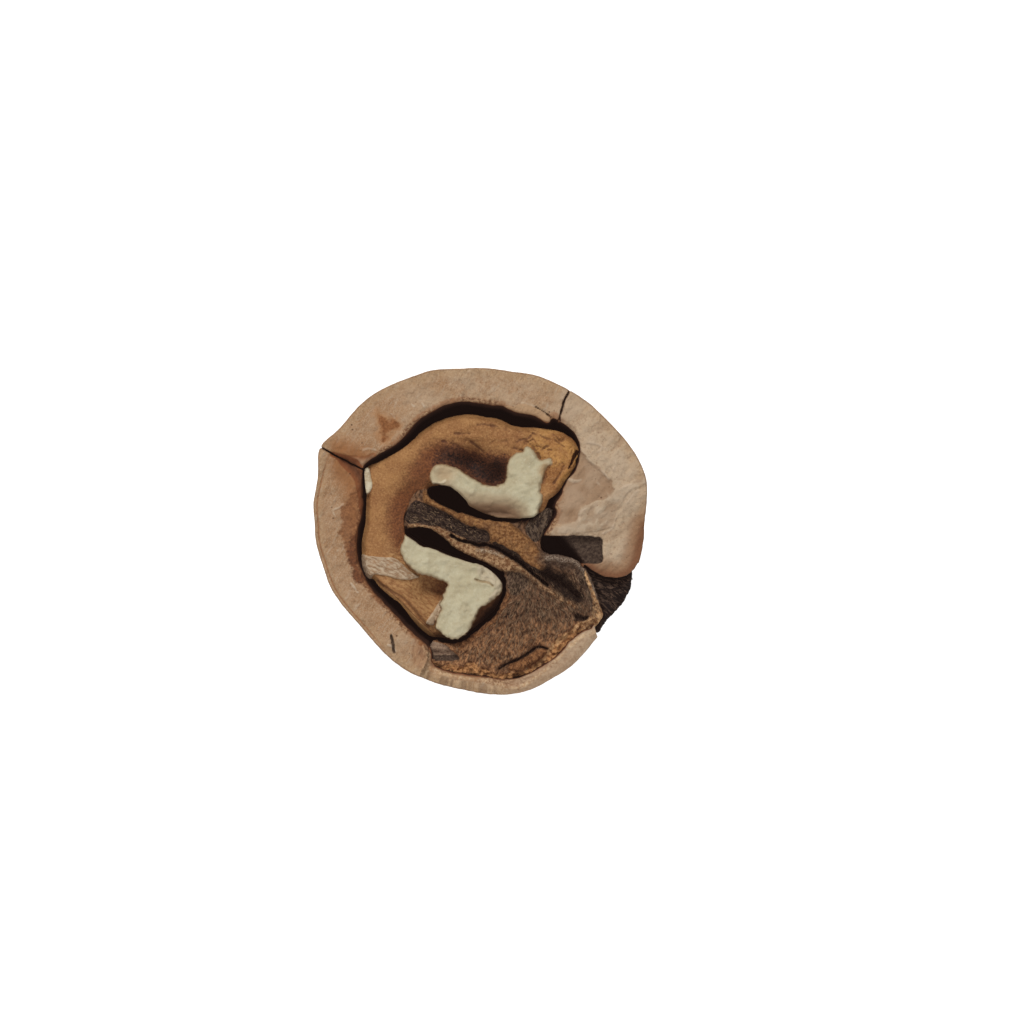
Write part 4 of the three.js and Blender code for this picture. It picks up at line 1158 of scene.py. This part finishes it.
class Finish:
    """A procedural material with one surface shader."""

    def __init__(self, name, **surface):
        self.material = bpy.data.materials.new(name)
        self.material.use_nodes = True
        self.tree = self.material.node_tree
        self.tree.nodes.clear()
        self.surface = self.tree.nodes.new("ShaderNodeBsdfPrincipled")
        output = self.tree.nodes.new("ShaderNodeOutputMaterial")
        self.tree.links.new(self.surface.outputs[0], output.inputs["Surface"])
        for socket, value in surface.items():
            self.surface.inputs[socket.replace("_", " ")].default_value = value
        place = self.node("ShaderNodeTexCoord", {}, {}, "Object")
        sockets = {0: place, "Scale": 1 / MM}
        self.millimetres = self.node("ShaderNodeVectorMath", {"operation": "SCALE"}, sockets)

    def node(self, kind, settings, sockets, output=0):
        made = self.tree.nodes.new(kind)
        for name, value in settings.items():
            setattr(made, name, value)
        for name, value in sockets.items():
            if isinstance(value, Wire):
                self.tree.links.new(value.socket, made.inputs[name])
            else:
                made.inputs[name].default_value = value
        return Wire(self, made.outputs[output])

    def zone(self, name):
        """The number that a piece's points hold under a name."""
        return self.node("ShaderNodeAttribute", {"attribute_name": name}, {}, "Fac")

    def uneven(self, name, *grains):
        """A zone's number, moved up and down by grains that are each given with their reach."""
        number = self.zone(name)
        for reach, grain in grains:
            number = number + reach * (grain - 0.5)
        return number

    def inside(self, name, ragged, soft):
        """From 0 outside a drawn outline to 1 inside it, across an edge that a grain makes ragged."""
        return self.uneven(name, (ragged, self.grain(0.5, 4, 0.6))).rise(soft, -soft)

    def away_from(self, place):
        """How far points lie from a place, in millimetres."""
        sockets = {0: self.millimetres, 1: place}
        return self.node("ShaderNodeVectorMath", {"operation": "DISTANCE"}, sockets, "Value")

    def grain(self, size, detail, roughness=0.55, stretch=(1, 1, 1), turn=0.0):
        """Noise from 0 to 1 of one size in millimetres, longer along some axes."""
        sockets = {"Vector": self.millimetres, "Rotation": (0, 0, math.radians(turn)), "Scale": stretch}
        placed = self.node("ShaderNodeMapping", {"vector_type": "TEXTURE"}, sockets)
        sockets = {"Vector": placed, "Scale": 1 / size, "Detail": detail, "Roughness": roughness}
        return self.node("ShaderNodeTexNoise", {}, sockets)

    def specks(self, size, near, far):
        """Small round dots, one in each cell of a size, from 1 in their middles to 0 round them."""
        sockets = {"Vector": self.millimetres, "Scale": 1 / size}
        return self.node("ShaderNodeTexVoronoi", {}, sockets, "Distance").rise(far, near)

    def mix(self, share, first, second):
        """A share from 0 to 1 of the second colour, and the rest of the first."""
        first, second = (part if isinstance(part, Wire) else tone(*part) for part in (first, second))
        return self.node("ShaderNodeMix", {"data_type": "RGBA"}, {0: share, 6: first, 7: second}, 2)

    def coated(self, colour, *coats):
        """A colour under coats, each with the share of it that is seen and its own colour."""
        for share, coat in coats:
            colour = self.mix(share, colour, coat)
        return colour

    def shade(self, colour, roughness, relief):
        """Feeds what varies into the surface: relief is a height in millimetres."""
        self.tree.links.new(colour.socket, self.surface.inputs["Base Color"])
        self.tree.links.new(roughness.socket, self.surface.inputs["Roughness"])
        bump = self.node("ShaderNodeBump", {}, {"Height": relief, "Distance": MM, "Strength": 1.0})
        self.tree.links.new(bump.socket, self.surface.inputs["Normal"])
        return self.material


# The shell's finish

def plain_break(f, g):
    """The buff broken face, browner to the left and paler to the right."""
    return f.coated(
        g.cloudy.tinted(0.38, 0.62, (171, 136, 101), (183, 154, 123)),
        (0.6 * g.blotch.rise(0.5, 0.66), (158, 120, 85)),
        (0.5 * g.blotch.rise(0.46, 0.3), (188, 163, 134)),
        (0.6 * f.zone("leftward").rise(5, 13), (160, 120, 84)),
        (0.75 * f.zone("leftward").rise(-7, -12), (202, 181, 153)),
        (0.5 * f.uneven("border", (0.8, g.blotch)).rise(1.4, 0.5), (180, 147, 109)),
        (0.5 * g.frost.rise(0.54, 0.66), (196, 176, 152)),
        (0.35 * g.dust.rise(0.45, 0.62), (208, 182, 152)),
        (0.45 * g.fine.rise(0.5, 0.34), (142, 108, 79)),
        (0.3 * g.fibre.rise(0.52, 0.66), (202, 175, 144)),
    )


def flaked_break(f, g, face):
    """The face with its flakes and scales, and with the brown and the crumbs beside the cavity."""
    low = f.inside("low_face", 0.4, 0.1)
    pale = f.inside("pale_face", 0.5, 0.15)
    # Painted highlight along the raised crest lines and the edges of the scales
    crest = (0.85 * f.zone("crests").rise(0.3, 0.1)).most(f.zone("scales").rise(0.16, 0.05))
    near_slope = f.uneven("left_slope", (0.8, g.blotch)).rise(2.6, 0.4) * f.zone("leftward").rise(17, 15.4)
    inner = f.uneven("inner", (0.9, g.blotch), (0.4, g.fine)).rise(0.55, 0.2)
    crease = f.uneven("border", (0.16, g.cloudy))
    corner = f.uneven("broken_corner", (0.4, g.blotch)).rise(1.1, 0.6)
    facets = f.grain(0.4, 3, 0.6, (1, 3.5, 1), -8)
    crumbs = f.uneven("crumbly", (0.6, g.fine)).rise(0.35, 0.8)
    return f.coated(
        face,
        (0.8 * low, g.cloudy.tinted(0.4, 0.6, (153, 121, 92), (172, 144, 117))),
        (0.65 * pale, g.blotch.tinted(0.4, 0.6, (176, 152, 125), (194, 176, 152))),
        # Painted light and shade of the flakes: paler where they stand higher, darker where they sink
        (0.35 * f.zone("flaked").rise(0.2, 1.2), (190, 170, 146)),
        (0.35 * f.zone("flaked").rise(-0.2, -1.2), (152, 122, 94)),
        # Painted highlight on the crests
        (0.8 * crest, (208, 186, 160)),
        (0.8 * near_slope, (152, 96, 50)),
        (0.65 * (inner * f.zone("leftward").rise(-10, -8)), (146, 96, 60)),
        (0.7 * (crease.rise(0.3, 0.38) * crease.rise(0.58, 0.44) * f.zone("creased")), (150, 98, 60)),
        (0.75 * corner, facets.tinted(0.42, 0.58, (134, 90, 60), (176, 136, 101))),
        (0.75 * crumbs, g.fine.tinted(0.42, 0.6, (92, 54, 34), (190, 154, 116))),
        (0.6 * f.zone("front_right"), g.fine.tinted(0.35, 0.65, (168, 138, 110), (194, 168, 140))),
    )


def stained_break(f, g, face):
    """The face with its brown stains, its brown slopes that painted shade darkens as they fall, and the
    browner band beside the open suture.
    """
    left_stain = f.uneven("left_stain", (1.2, g.blotch), (0.6, g.fine)).rise(0.3, -0.2)
    dark_stain = f.uneven("dark_stain", (0.8, g.blotch), (0.6, g.fine)).rise(0.25, -0.1)
    corner = f.uneven("corner_slope", (0.15, g.fine)).rise(0.06, -0.06)
    slope = f.uneven("left_slope", (0.1, g.fine)).rise(0.04, -0.06)
    by_suture = f.uneven("lower_edge", (0.7, g.blotch))
    return f.coated(
        face,
        (0.85 * left_stain, g.fine.tinted(0.35, 0.65, (112, 64, 34), (152, 100, 60))),
        (0.92 * dark_stain, g.fine.tinted(0.35, 0.65, (70, 32, 14), (116, 62, 32))),
        (0.9 * corner, f.zone("corner_slope").tinted(0.05, -0.6, (150, 90, 50), (164, 132, 104))),
        # The slope's own brown, with painted shade that darkens it further down towards the cavity
        (0.95 * slope, f.zone("left_slope").tinted(0, -1.0, (142, 80, 44), (72, 38, 24))),
        (0.75 * by_suture.rise(2.4, 1.0), (146, 106, 74)),
        (0.85 * by_suture.rise(1.1, 0.25), (112, 66, 40)),
    )


def marked_break(f, g, face):
    """The face with its lip, the flutes at the front, specks, a stain, a scar and the pit."""
    # Painted highlight along the pale crest of the front break
    crest = f.uneven("fluted", (0.4, g.blotch), (0.2, g.fine)).rise(0.34, 0.06)
    crest = crest * (0.25 + 0.75 * f.grain(0.8, 4, 0.6).rise(0.42, 0.6))
    rim_line = f.uneven("skin", (0.25, g.blotch)) + f.zone("front_right")
    stain = f.uneven("stain", (1.2, g.blotch), (0.6, g.fine))
    # The pit's floor is dark grey-brown, and its deeper left part is painted near black as shade
    in_pit = g.fine.tinted(0.35, 0.65, (46, 34, 27), (86, 70, 58))
    in_pit = f.mix(f.uneven("pit_side", (0.3, g.fine)).rise(0.25, -0.3), in_pit, (30, 21, 17))
    return f.coated(
        face,
        (0.7 * f.inside("lip", 0.1, 0.05), (184, 150, 114)),
        # Painted shade in the grooves of the flutes
        (0.55 * f.zone("flutes").rise(0.4, -0.6), (126, 97, 72)),
        (0.75 * crest, g.fine.tinted(0.4, 0.6, (190, 152, 112), (218, 190, 154))),
        (0.8 * f.specks(1.9, 0.04, 0.07), (80, 52, 36)),
        (0.4 * f.specks(0.9, 0.08, 0.14), (118, 86, 60)),
        (0.45 * rim_line.rise(0.2, 0.05), (116, 80, 52)),
        (0.7 * stain.rise(1.0, 0.0), (166, 118, 76)),
        (0.85 * stain.rise(0.2, -0.3), g.fine.tinted(0.35, 0.65, (110, 62, 30), (146, 94, 54))),
        (0.85 * f.uneven("scar", (0.2, g.fine)).rise(0.24, 0.08), (56, 41, 32)),
        (f.inside("pit", 0.1, 0.04), in_pit),
    )


def shell_finish():
    f = Finish("broken nutshell", Specular_IOR_Level=0.12, **PAINTED_GLOW)
    g = SimpleNamespace(
        cloudy=f.grain(3.2, 4),
        blotch=f.grain(1.1, 5, 0.6),
        fine=f.grain(0.3, 4, 0.7),
        dust=f.grain(0.16, 3, 0.7),
        fibre=f.grain(0.18, 3, 0.7, (5, 1, 1), 60),
        frost=f.grain(0.5, 5, 0.72, (1, 3.5, 1), -35),
    )
    face = marked_break(f, g, stained_break(f, g, flaked_break(f, g, plain_break(f, g))))
    bark = f.coated(
        g.cloudy.tinted(0.35, 0.65, (148, 110, 72), (176, 138, 98)),
        (0.7 * f.zone("groove").rise(0.25, 0.95), (102, 68, 42)),
        (0.5 * f.grain(0.8, 5, 0.7).rise(0.5, 0.7), (120, 84, 54)),
    )
    lining = g.blotch.tinted(0.3, 0.7, (128, 78, 48), (160, 104, 66))
    # The lining's own brown, with painted shade that darkens it further below the rim
    lining = f.mix(f.zone("below").rise(0.2, 1.1), lining, (56, 33, 23))
    below = f.uneven("below", (0.08, g.blotch))
    on_skin = f.zone("skin").rise(0.16, 0.07) * below.rise(0.05, 0.2)
    in_cavity = f.zone("skin").rise(0.3, 0.8) * below.rise(0.15, 0.4)
    colour = f.coated(face, (on_skin, bark), (in_cavity, lining))
    relief = 0.09 * g.fine + 0.07 * g.blotch + 0.06 * g.dust + 0.05 * g.fibre + 0.08 * g.frost
    return f.shade(colour, 0.75 + 0.16 * g.fine, relief)


# The kernel's finish

def brown_skin(f, g):
    """The seed's skin with its amber part, its lighter band, and the shade in its hollows."""
    amber = (f.away_from(AMBER_MIDDLE) + 2.4 * (g.mottle - 0.5)).rise(4.6, 2.2)
    band = f.uneven("band", (0.3, g.mottle))
    in_front = f.zone("notch_side").rise(8, 6.5)
    shaded = f.uneven("shaded", (1.2, g.mottle), (0.9, g.fine))
    hollow = f.uneven("hollow", (1.5, g.mottle), (1.1, g.fine))
    notch = f.uneven("notch_side", (0.8, g.mottle), (0.5, g.fine))
    return f.coated(
        g.cloudy.tinted(0.35, 0.65, (143, 97, 55), (165, 119, 71)),
        (0.8 * amber, g.cloudy.tinted(0.42, 0.58, (146, 96, 48), (186, 136, 74))),
        (0.5 * g.mottle.rise(0.48, 0.66), (126, 78, 42)),
        (0.4 * g.mottle.rise(0.45, 0.3), (182, 136, 87)),
        (0.4 * g.fine.rise(0.5, 0.64), (192, 147, 98)),
        (0.45 * g.fine.rise(0.48, 0.34), (108, 66, 36)),
        (0.8 * in_front * band.rise(0.0, -0.3), (198, 150, 96)),
        (0.6 * in_front * band.rise(0.1, 0.5), g.streaks.tinted(0.38, 0.62, (132, 88, 52), (182, 140, 92))),
        (0.85 * shaded.rise(2.4, 0.5), g.fine.tinted(0.35, 0.65, (76, 38, 18), (124, 68, 32))),
        (0.75 * hollow.rise(1.2, 0.1), g.fine.tinted(0.35, 0.65, (96, 54, 32), (140, 86, 50))),
        (0.9 * hollow.rise(0.4, -0.1), g.fine.tinted(0.35, 0.65, (56, 29, 18), (98, 57, 36))),
        (0.95 * hollow.rise(-0.1, -0.8), g.fine.tinted(0.4, 0.62, (14, 8, 6), (70, 38, 24))),
        (0.75 * notch.rise(1.7, 0.2), g.fine.tinted(0.35, 0.65, (116, 68, 36), (162, 108, 64))),
    )


def marked_skin(f, g, skin):
    """The skin with its veins, folds, specks and torn flakes, and the bare wall beside the foot, which
    painted shade darkens as it falls.
    """
    in_front = f.zone("notch_side").rise(8, 6.5)
    crease = f.uneven("band", (0.1, g.fine)).rise(0.22, 0.05) * in_front * f.zone("band").rise(-0.3, -0.05)
    folds = f.uneven("folds", (0.15, g.mottle), (0.1, g.fine)).rise(0.17, 0.03)
    wall = f.uneven("pocket_skin", (0.15, g.mottle)).rise(0.05, -0.1)
    shade_down_wall = f.uneven("flesh", (0.5, g.mottle))
    papery = f.coated(
        g.streaks.tinted(0.36, 0.64, (142, 112, 83), (188, 168, 142)),
        (0.5 * g.mottle.rise(0.52, 0.66), (152, 112, 73)),
        (0.6 * f.zone("flake").rise(-0.14, -0.03), (194, 170, 140)),
    )
    torn_off = f.zone("flake").rise(0.03, -0.04).most(f.zone("small_flake").rise(0.03, -0.04))
    return f.coated(
        skin,
        (0.6 * f.zone("veins").rise(0.1, 0.8), (104, 62, 34)),
        (0.75 * crease, (104, 66, 38)),
        # Painted shade in the folds of the skin and beside the flesh's upper right edge
        (0.7 * folds, (82, 45, 25)),
        (0.4 * f.specks(0.8, 0.09, 0.16), (96, 56, 30)),
        # Painted shade on the skin wall beside the foot, darker the further it falls from the flesh
        (0.9 * wall, shade_down_wall.tinted(0.1, 1.1, (140, 92, 58), (78, 50, 35))),
        (0.95 * torn_off, papery),
    )


def broken_flesh(f, g):
    """The ivory break of the lobes, tanned in two places, with painted shade on its wall beside the septum.
    """
    left_tan = (f.away_from(LEFT_TAN) + 1.2 * (g.mottle - 0.5)).rise(1.9, 0.4)
    right_tan = (f.away_from(RIGHT_TAN) + (g.mottle - 0.5)).rise(1.3, 0.4)
    wall = f.uneven("south", (0.3, g.mottle), (0.2, g.fine))
    near_skin = f.uneven("flesh", (0.3, g.mottle), (0.1, g.fine))
    return f.coated(
        g.cloudy.tinted(0.35, 0.65, (180, 169, 137), (190, 181, 151)),
        (0.5 * g.mottle.rise(0.48, 0.66), (174, 158, 125)),
        (0.35 * f.grain(1.5, 4).rise(0.48, 0.62), (164, 148, 116)),
        (0.45 * g.fine.rise(0.52, 0.68), (202, 194, 170)),
        (0.6 * left_tan, (172, 138, 100)),
        (0.75 * right_tan, (168, 128, 84)),
        # Painted shade on the wall that falls away from the light towards the septum
        (0.75 * wall.rise(0.6, -0.5), (154, 132, 102)),
        (0.85 * wall.rise(-0.4, -1.4), (122, 90, 64)),
        (0.9 * wall.rise(-1.4, -2.4), (82, 52, 36)),
        # Painted highlight along the flesh's raised left rim
        (0.8 * f.zone("lit_flesh_rim").rise(0.22, 0.06), (212, 198, 168)),
        (0.5 * f.inside("rind", 0.4, 0.1), (186, 168, 144)),
        (0.5 * f.zone("crease").rise(0.16, 0.03), (160, 122, 80)),
        (0.5 * near_skin.rise(-0.5, -0.1), (170, 148, 112)),
        (0.8 * near_skin.rise(-0.18, -0.01), (142, 98, 60)),
        (f.zone("corner").rise(0.1, 0.0), g.mottle.tinted(0.4, 0.6, (204, 192, 164), (178, 158, 126))),
    )


def kernel_finish():
    f = Finish("walnut kernel", Specular_IOR_Level=0.2, **PAINTED_GLOW)
    g = SimpleNamespace(
        cloudy=f.grain(2.4, 4),
        mottle=f.grain(0.6, 5, 0.68),
        fine=f.grain(0.2, 4, 0.7),
        streaks=f.grain(0.24, 4, 0.65, (3.5, 1, 1), -24),
    )
    is_flesh = f.uneven("flesh", (0.08, g.fine)).rise(0.02, -0.04)
    is_flesh = is_flesh.most(f.zone("corner").rise(0.03, -0.03))
    colour = f.coated(
        marked_skin(f, g, brown_skin(f, g)),
        (is_flesh, broken_flesh(f, g)),
        # Painted shade: the sides darken the further they fall below the top
        (f.zone("below").rise(0.3, 1.1), f.mix(is_flesh, (116, 72, 42), (116, 80, 54))),
        (f.zone("below").rise(0.9, 2.6), f.mix(is_flesh, (50, 31, 22), (84, 54, 37))),
    )
    return f.shade(colour, 0.66 - 0.14 * is_flesh + 0.1 * g.mottle, 0.08 * g.mottle + 0.07 * g.fine)


# The septum's finish

def brown_packing(f, g):
    """The matted fibres of the foot, with the paler spongy part in front of them."""
    rim = f.uneven("pocket_rim", (0.6, g.sponge)).rise(0.7, 0.1)
    packing = f.coated(
        g.matted.tinted(0.36, 0.62, (50, 32, 23), (142, 105, 77)),
        (0.35 * g.sponge.rise(0.52, 0.66), (150, 124, 100)),
        (0.35 * g.sponge.rise(0.46, 0.34), (44, 29, 22)),
        (f.uneven("brownish", (1.6, g.cloudy)), g.matted.tinted(0.36, 0.62, (92, 57, 37), (188, 137, 95))),
        (0.75 * rim, g.sponge.tinted(0.42, 0.6, (84, 48, 28), (158, 108, 68))),
        (0.85 * f.inside("patch", 0.4, 0.15), g.matted.tinted(0.42, 0.58, (44, 34, 28), (120, 98, 80))),
    )
    edge = f.uneven("spongy", (0.3, g.sponge))
    edge = edge.rise(-0.6, -0.3) * edge.rise(0.15, 0.0) * f.zone("rightward").rise(5, 7)
    spongy = f.coated(
        g.sponge.tinted(0.3, 0.62, (130, 78, 44), (214, 158, 104)),
        (0.8 * edge, g.fine.tinted(0.4, 0.6, (176, 130, 88), (226, 182, 132))),
    )
    return f.mix(f.inside("spongy", 0.5, 0.1), packing, spongy)


def bands_and_core(f, g, colour):
    """The packing under the two tan bands, the dark core between them and the grey sheets at the right."""
    crest = f.uneven("lower_crest", (0.4, g.sponge)).rise(0.5, 0.15)
    tan = g.sponge.tinted(0.38, 0.64, (108, 68, 38), (172, 125, 78))
    tan = f.mix(0.4 * g.cloudy.rise(0.5, 0.65), tan, (112, 78, 52))
    crumbs = f.uneven("pale_crumbs", (0.4, g.sponge)).rise(0.3, 0.05)
    core = f.grain(0.2, 5, 0.78, (2.6, 1, 1), -28).tinted(0.42, 0.62, (29, 21, 18), (86, 68, 57))
    core = f.mix(0.7 * g.fine.rise(0.6, 0.72), core, (142, 122, 104))
    in_core = f.inside("core", 0.2, 0.05).most(f.inside("strip", 0.15, 0.06))
    sheet = f.uneven("sheet", (0.6, g.sponge)).rise(1.5, 0.5)
    sheet_top = f.uneven("sheet", (0.5, g.sponge)).rise(0.45, 0.1)
    return f.coated(
        colour,
        (0.9 * crest, g.sponge.tinted(0.42, 0.6, (116, 78, 50), (196, 156, 116))),
        (f.inside("upper", 0.15, 0.05), tan),
        (f.inside("lower", 0.2, 0.05), g.sponge.tinted(0.4, 0.62, (118, 80, 51), (190, 152, 112))),
        (0.8 * crumbs, g.fine.tinted(0.4, 0.6, (120, 90, 66), (196, 176, 150))),
        (in_core, core),
        (f.inside("wing", 0.05, 0.04), g.matted.tinted(0.42, 0.6, (40, 31, 27), (112, 94, 78))),
        (0.75 * sheet, g.sponge.tinted(0.4, 0.6, (62, 47, 39), (118, 98, 82))),
        (0.8 * sheet_top, g.fine.tinted(0.4, 0.6, (86, 66, 54), (176, 156, 136))),
        (f.inside("tan", 0.2, 0.05), g.sponge.tinted(0.4, 0.6, (150, 104, 67), (222, 178, 130))),
    )


def gaps_and_facet(f, g, colour):
    """The partition with painted shade in its valley, slit and holes and beside its ledge, and the flat
    break at the front.
    """
    valley = f.uneven("valley", (0.6, g.sponge)).rise(0.35, -0.4)
    lower_half = f.zone("facet_low").rise(-0.05, 0.1)
    facet = f.coated(
        g.fine.tinted(0.35, 0.65, (132, 106, 87), (170, 142, 118)),
        (0.85 * lower_half, g.fine.tinted(0.35, 0.65, (52, 40, 34), (78, 63, 53))),
    )
    return f.coated(
        colour,
        # Painted shade in the deep valley and the slit
        (0.9 * valley, g.matted.tinted(0.45, 0.65, (22, 16, 14), (62, 49, 41))),
        (0.95 * f.uneven("slit", (0.15, g.sponge)).rise(0.24, 0.08), (24, 18, 15)),
        # Painted shadow along the drop of the ledge
        (0.45 * f.uneven("ledge", (0.5, g.sponge)).rise(0.7, 0.1), (82, 54, 37)),
        (0.9 * f.zone("ledge").rise(0.22, 0.05), (48, 30, 21)),
        (0.85 * f.inside("lens", 0.2, 0.06), g.matted.tinted(0.4, 0.6, (96, 58, 34), (158, 108, 67))),
        # Painted shade in the holes
        (0.85 * f.zone("holes").rise(0.05, -0.2), (48, 34, 27)),
        (f.inside("facet", 0.05, 0.04), facet),
        (0.3 * g.fine.rise(0.55, 0.7), (182, 152, 120)),
        (0.3 * g.fine.rise(0.45, 0.32), (56, 38, 28)),
        (f.zone("gap_line").rise(0.1, 0.04), (158, 132, 106)),
    )


def septum_finish():
    f = Finish("septum and spongy foot", Specular_IOR_Level=0.08, **PAINTED_GLOW)
    g = SimpleNamespace(cloudy=f.grain(1.8, 4), sponge=f.grain(0.35, 5, 0.72), fine=f.grain(0.18, 4, 0.7))
    upright = f.grain(0.24, 4, 0.7, (3.2, 1, 1), 66)
    leaning = f.grain(0.26, 4, 0.7, (3.2, 1, 1), 112)
    g.matted = upright + g.cloudy.rise(0.44, 0.56) * (leaning - upright)
    strand = f.zone("strand")
    colour = f.coated(
        gaps_and_facet(f, g, bands_and_core(f, g, brown_packing(f, g))),
        (0.6 * strand.rise(0.02, 0.05), strand.tinted(0.3, 1.0, (58, 40, 31), (172, 143, 112))),
        # Painted shade: the sides darken the further they fall below the top
        (f.zone("below").rise(0.3, 1.4), (64, 40, 27)),
        (f.zone("below").rise(1.5, 5.0), (40, 26, 19)),
    )
    return f.shade(colour, 0.85 + 0.1 * g.sponge, 0.2 * g.sponge + 0.1 * g.fine + 0.25 * g.matted)


# The finishes of the suture fibres and the table

def fibres_finish():
    f = Finish("dark suture fibres", Specular_IOR_Level=0.1, **PAINTED_GLOW)
    lying = f.grain(0.13, 4, 0.7, (6, 1, 1), -38)
    upright = f.grain(0.16, 3, 0.7, (1, 1, 6))
    strand = f.zone("strand")
    colour = f.coated(
        lying.tinted(0.4, 0.72, (22, 15, 13), (60, 47, 39)),
        (0.5 * upright.rise(0.5, 0.75), (58, 44, 36)),
        (strand.rise(0.02, 0.05), strand.tinted(0.5, 1.0, (24, 16, 13), (96, 76, 63))),
    )
    return f.shade(colour, 0.8 + 0.1 * lying, 0.15 * lying + 0.1 * upright)


def floor_finish():
    """A white table that glows a little, so that only the deepest shadow shows on it."""
    dull = {"Base_Color": (0.4, 0.4, 0.4, 1), "Specular_IOR_Level": 0.0, "Roughness": 0.9}
    glow = {"Emission_Color": (1, 1, 1, 1), "Emission_Strength": 0.85}
    return Finish("white table", **dull, **glow).material


# Stage, light and camera

def make_stage():
    half = TABLE_WIDTH / 2
    points = np.array([(-half, -half, 0), (half, -half, 0), (half, half, 0), (-half, half, 0)])
    floor = bpy.data.objects.new("floor", bare_mesh("floor", points, np.array([[0, 1, 2, 3]])))
    bpy.context.scene.collection.objects.link(floor)
    floor.data.materials.append(floor_finish())
    world = bpy.data.worlds.new("soft room")
    world.use_nodes = True
    background = world.node_tree.nodes["Background"]
    background.inputs["Color"].default_value = (1, 1, 1, 1)
    background.inputs["Strength"].default_value = ROOM_LIGHT
    bpy.context.scene.world = world
    for name, strength, turn, spread in LAMPS:
        lamp = bpy.data.lights.new(name, "SUN")
        lamp.energy = strength
        lamp.angle = math.radians(spread)
        holder = bpy.data.objects.new(name, lamp)
        holder.rotation_euler = [math.radians(part) for part in turn]
        bpy.context.scene.collection.objects.link(holder)


def make_camera():
    lens = bpy.data.cameras.new("camera")
    lens.lens = LENS
    lens.sensor_width = SENSOR
    lens.clip_start = 0.01
    view_width = PHOTO_WIDTH * MM_PER_PIXEL * MM
    camera = bpy.data.objects.new("camera", lens)
    middle = PHOTO_WIDTH / 2
    x = (middle - NUT_CENTRE_PIXEL[0]) * MM_PER_PIXEL * MM
    y = (NUT_CENTRE_PIXEL[1] - middle) * MM_PER_PIXEL * MM
    camera.location = (x, y, RIM_Z * MM + view_width * LENS / SENSOR)
    bpy.context.scene.collection.objects.link(camera)
    bpy.context.scene.camera = camera
    bpy.context.scene.view_settings.view_transform = "Standard"


make_camera()
make_stage()
shell = shell_finish()
drawn_shell = draw_shell()
back_room = Room((-18.4, 19.2), (-9.2, 19.2), (-0.5, 21.4))
front_room = Room((-19.4, 14.6), (-19.0, 10.4), (-0.5, 21.4))
make_valve("walnut_valve_back", "shell_valve_back", 1, back_room, drawn_shell, shell)
make_valve("walnut_valve_front", "shell_valve_front", -1, front_room, drawn_shell, shell)
make_kernel(kernel_finish())
make_septum(septum_finish())
make_fibres(fibres_finish())
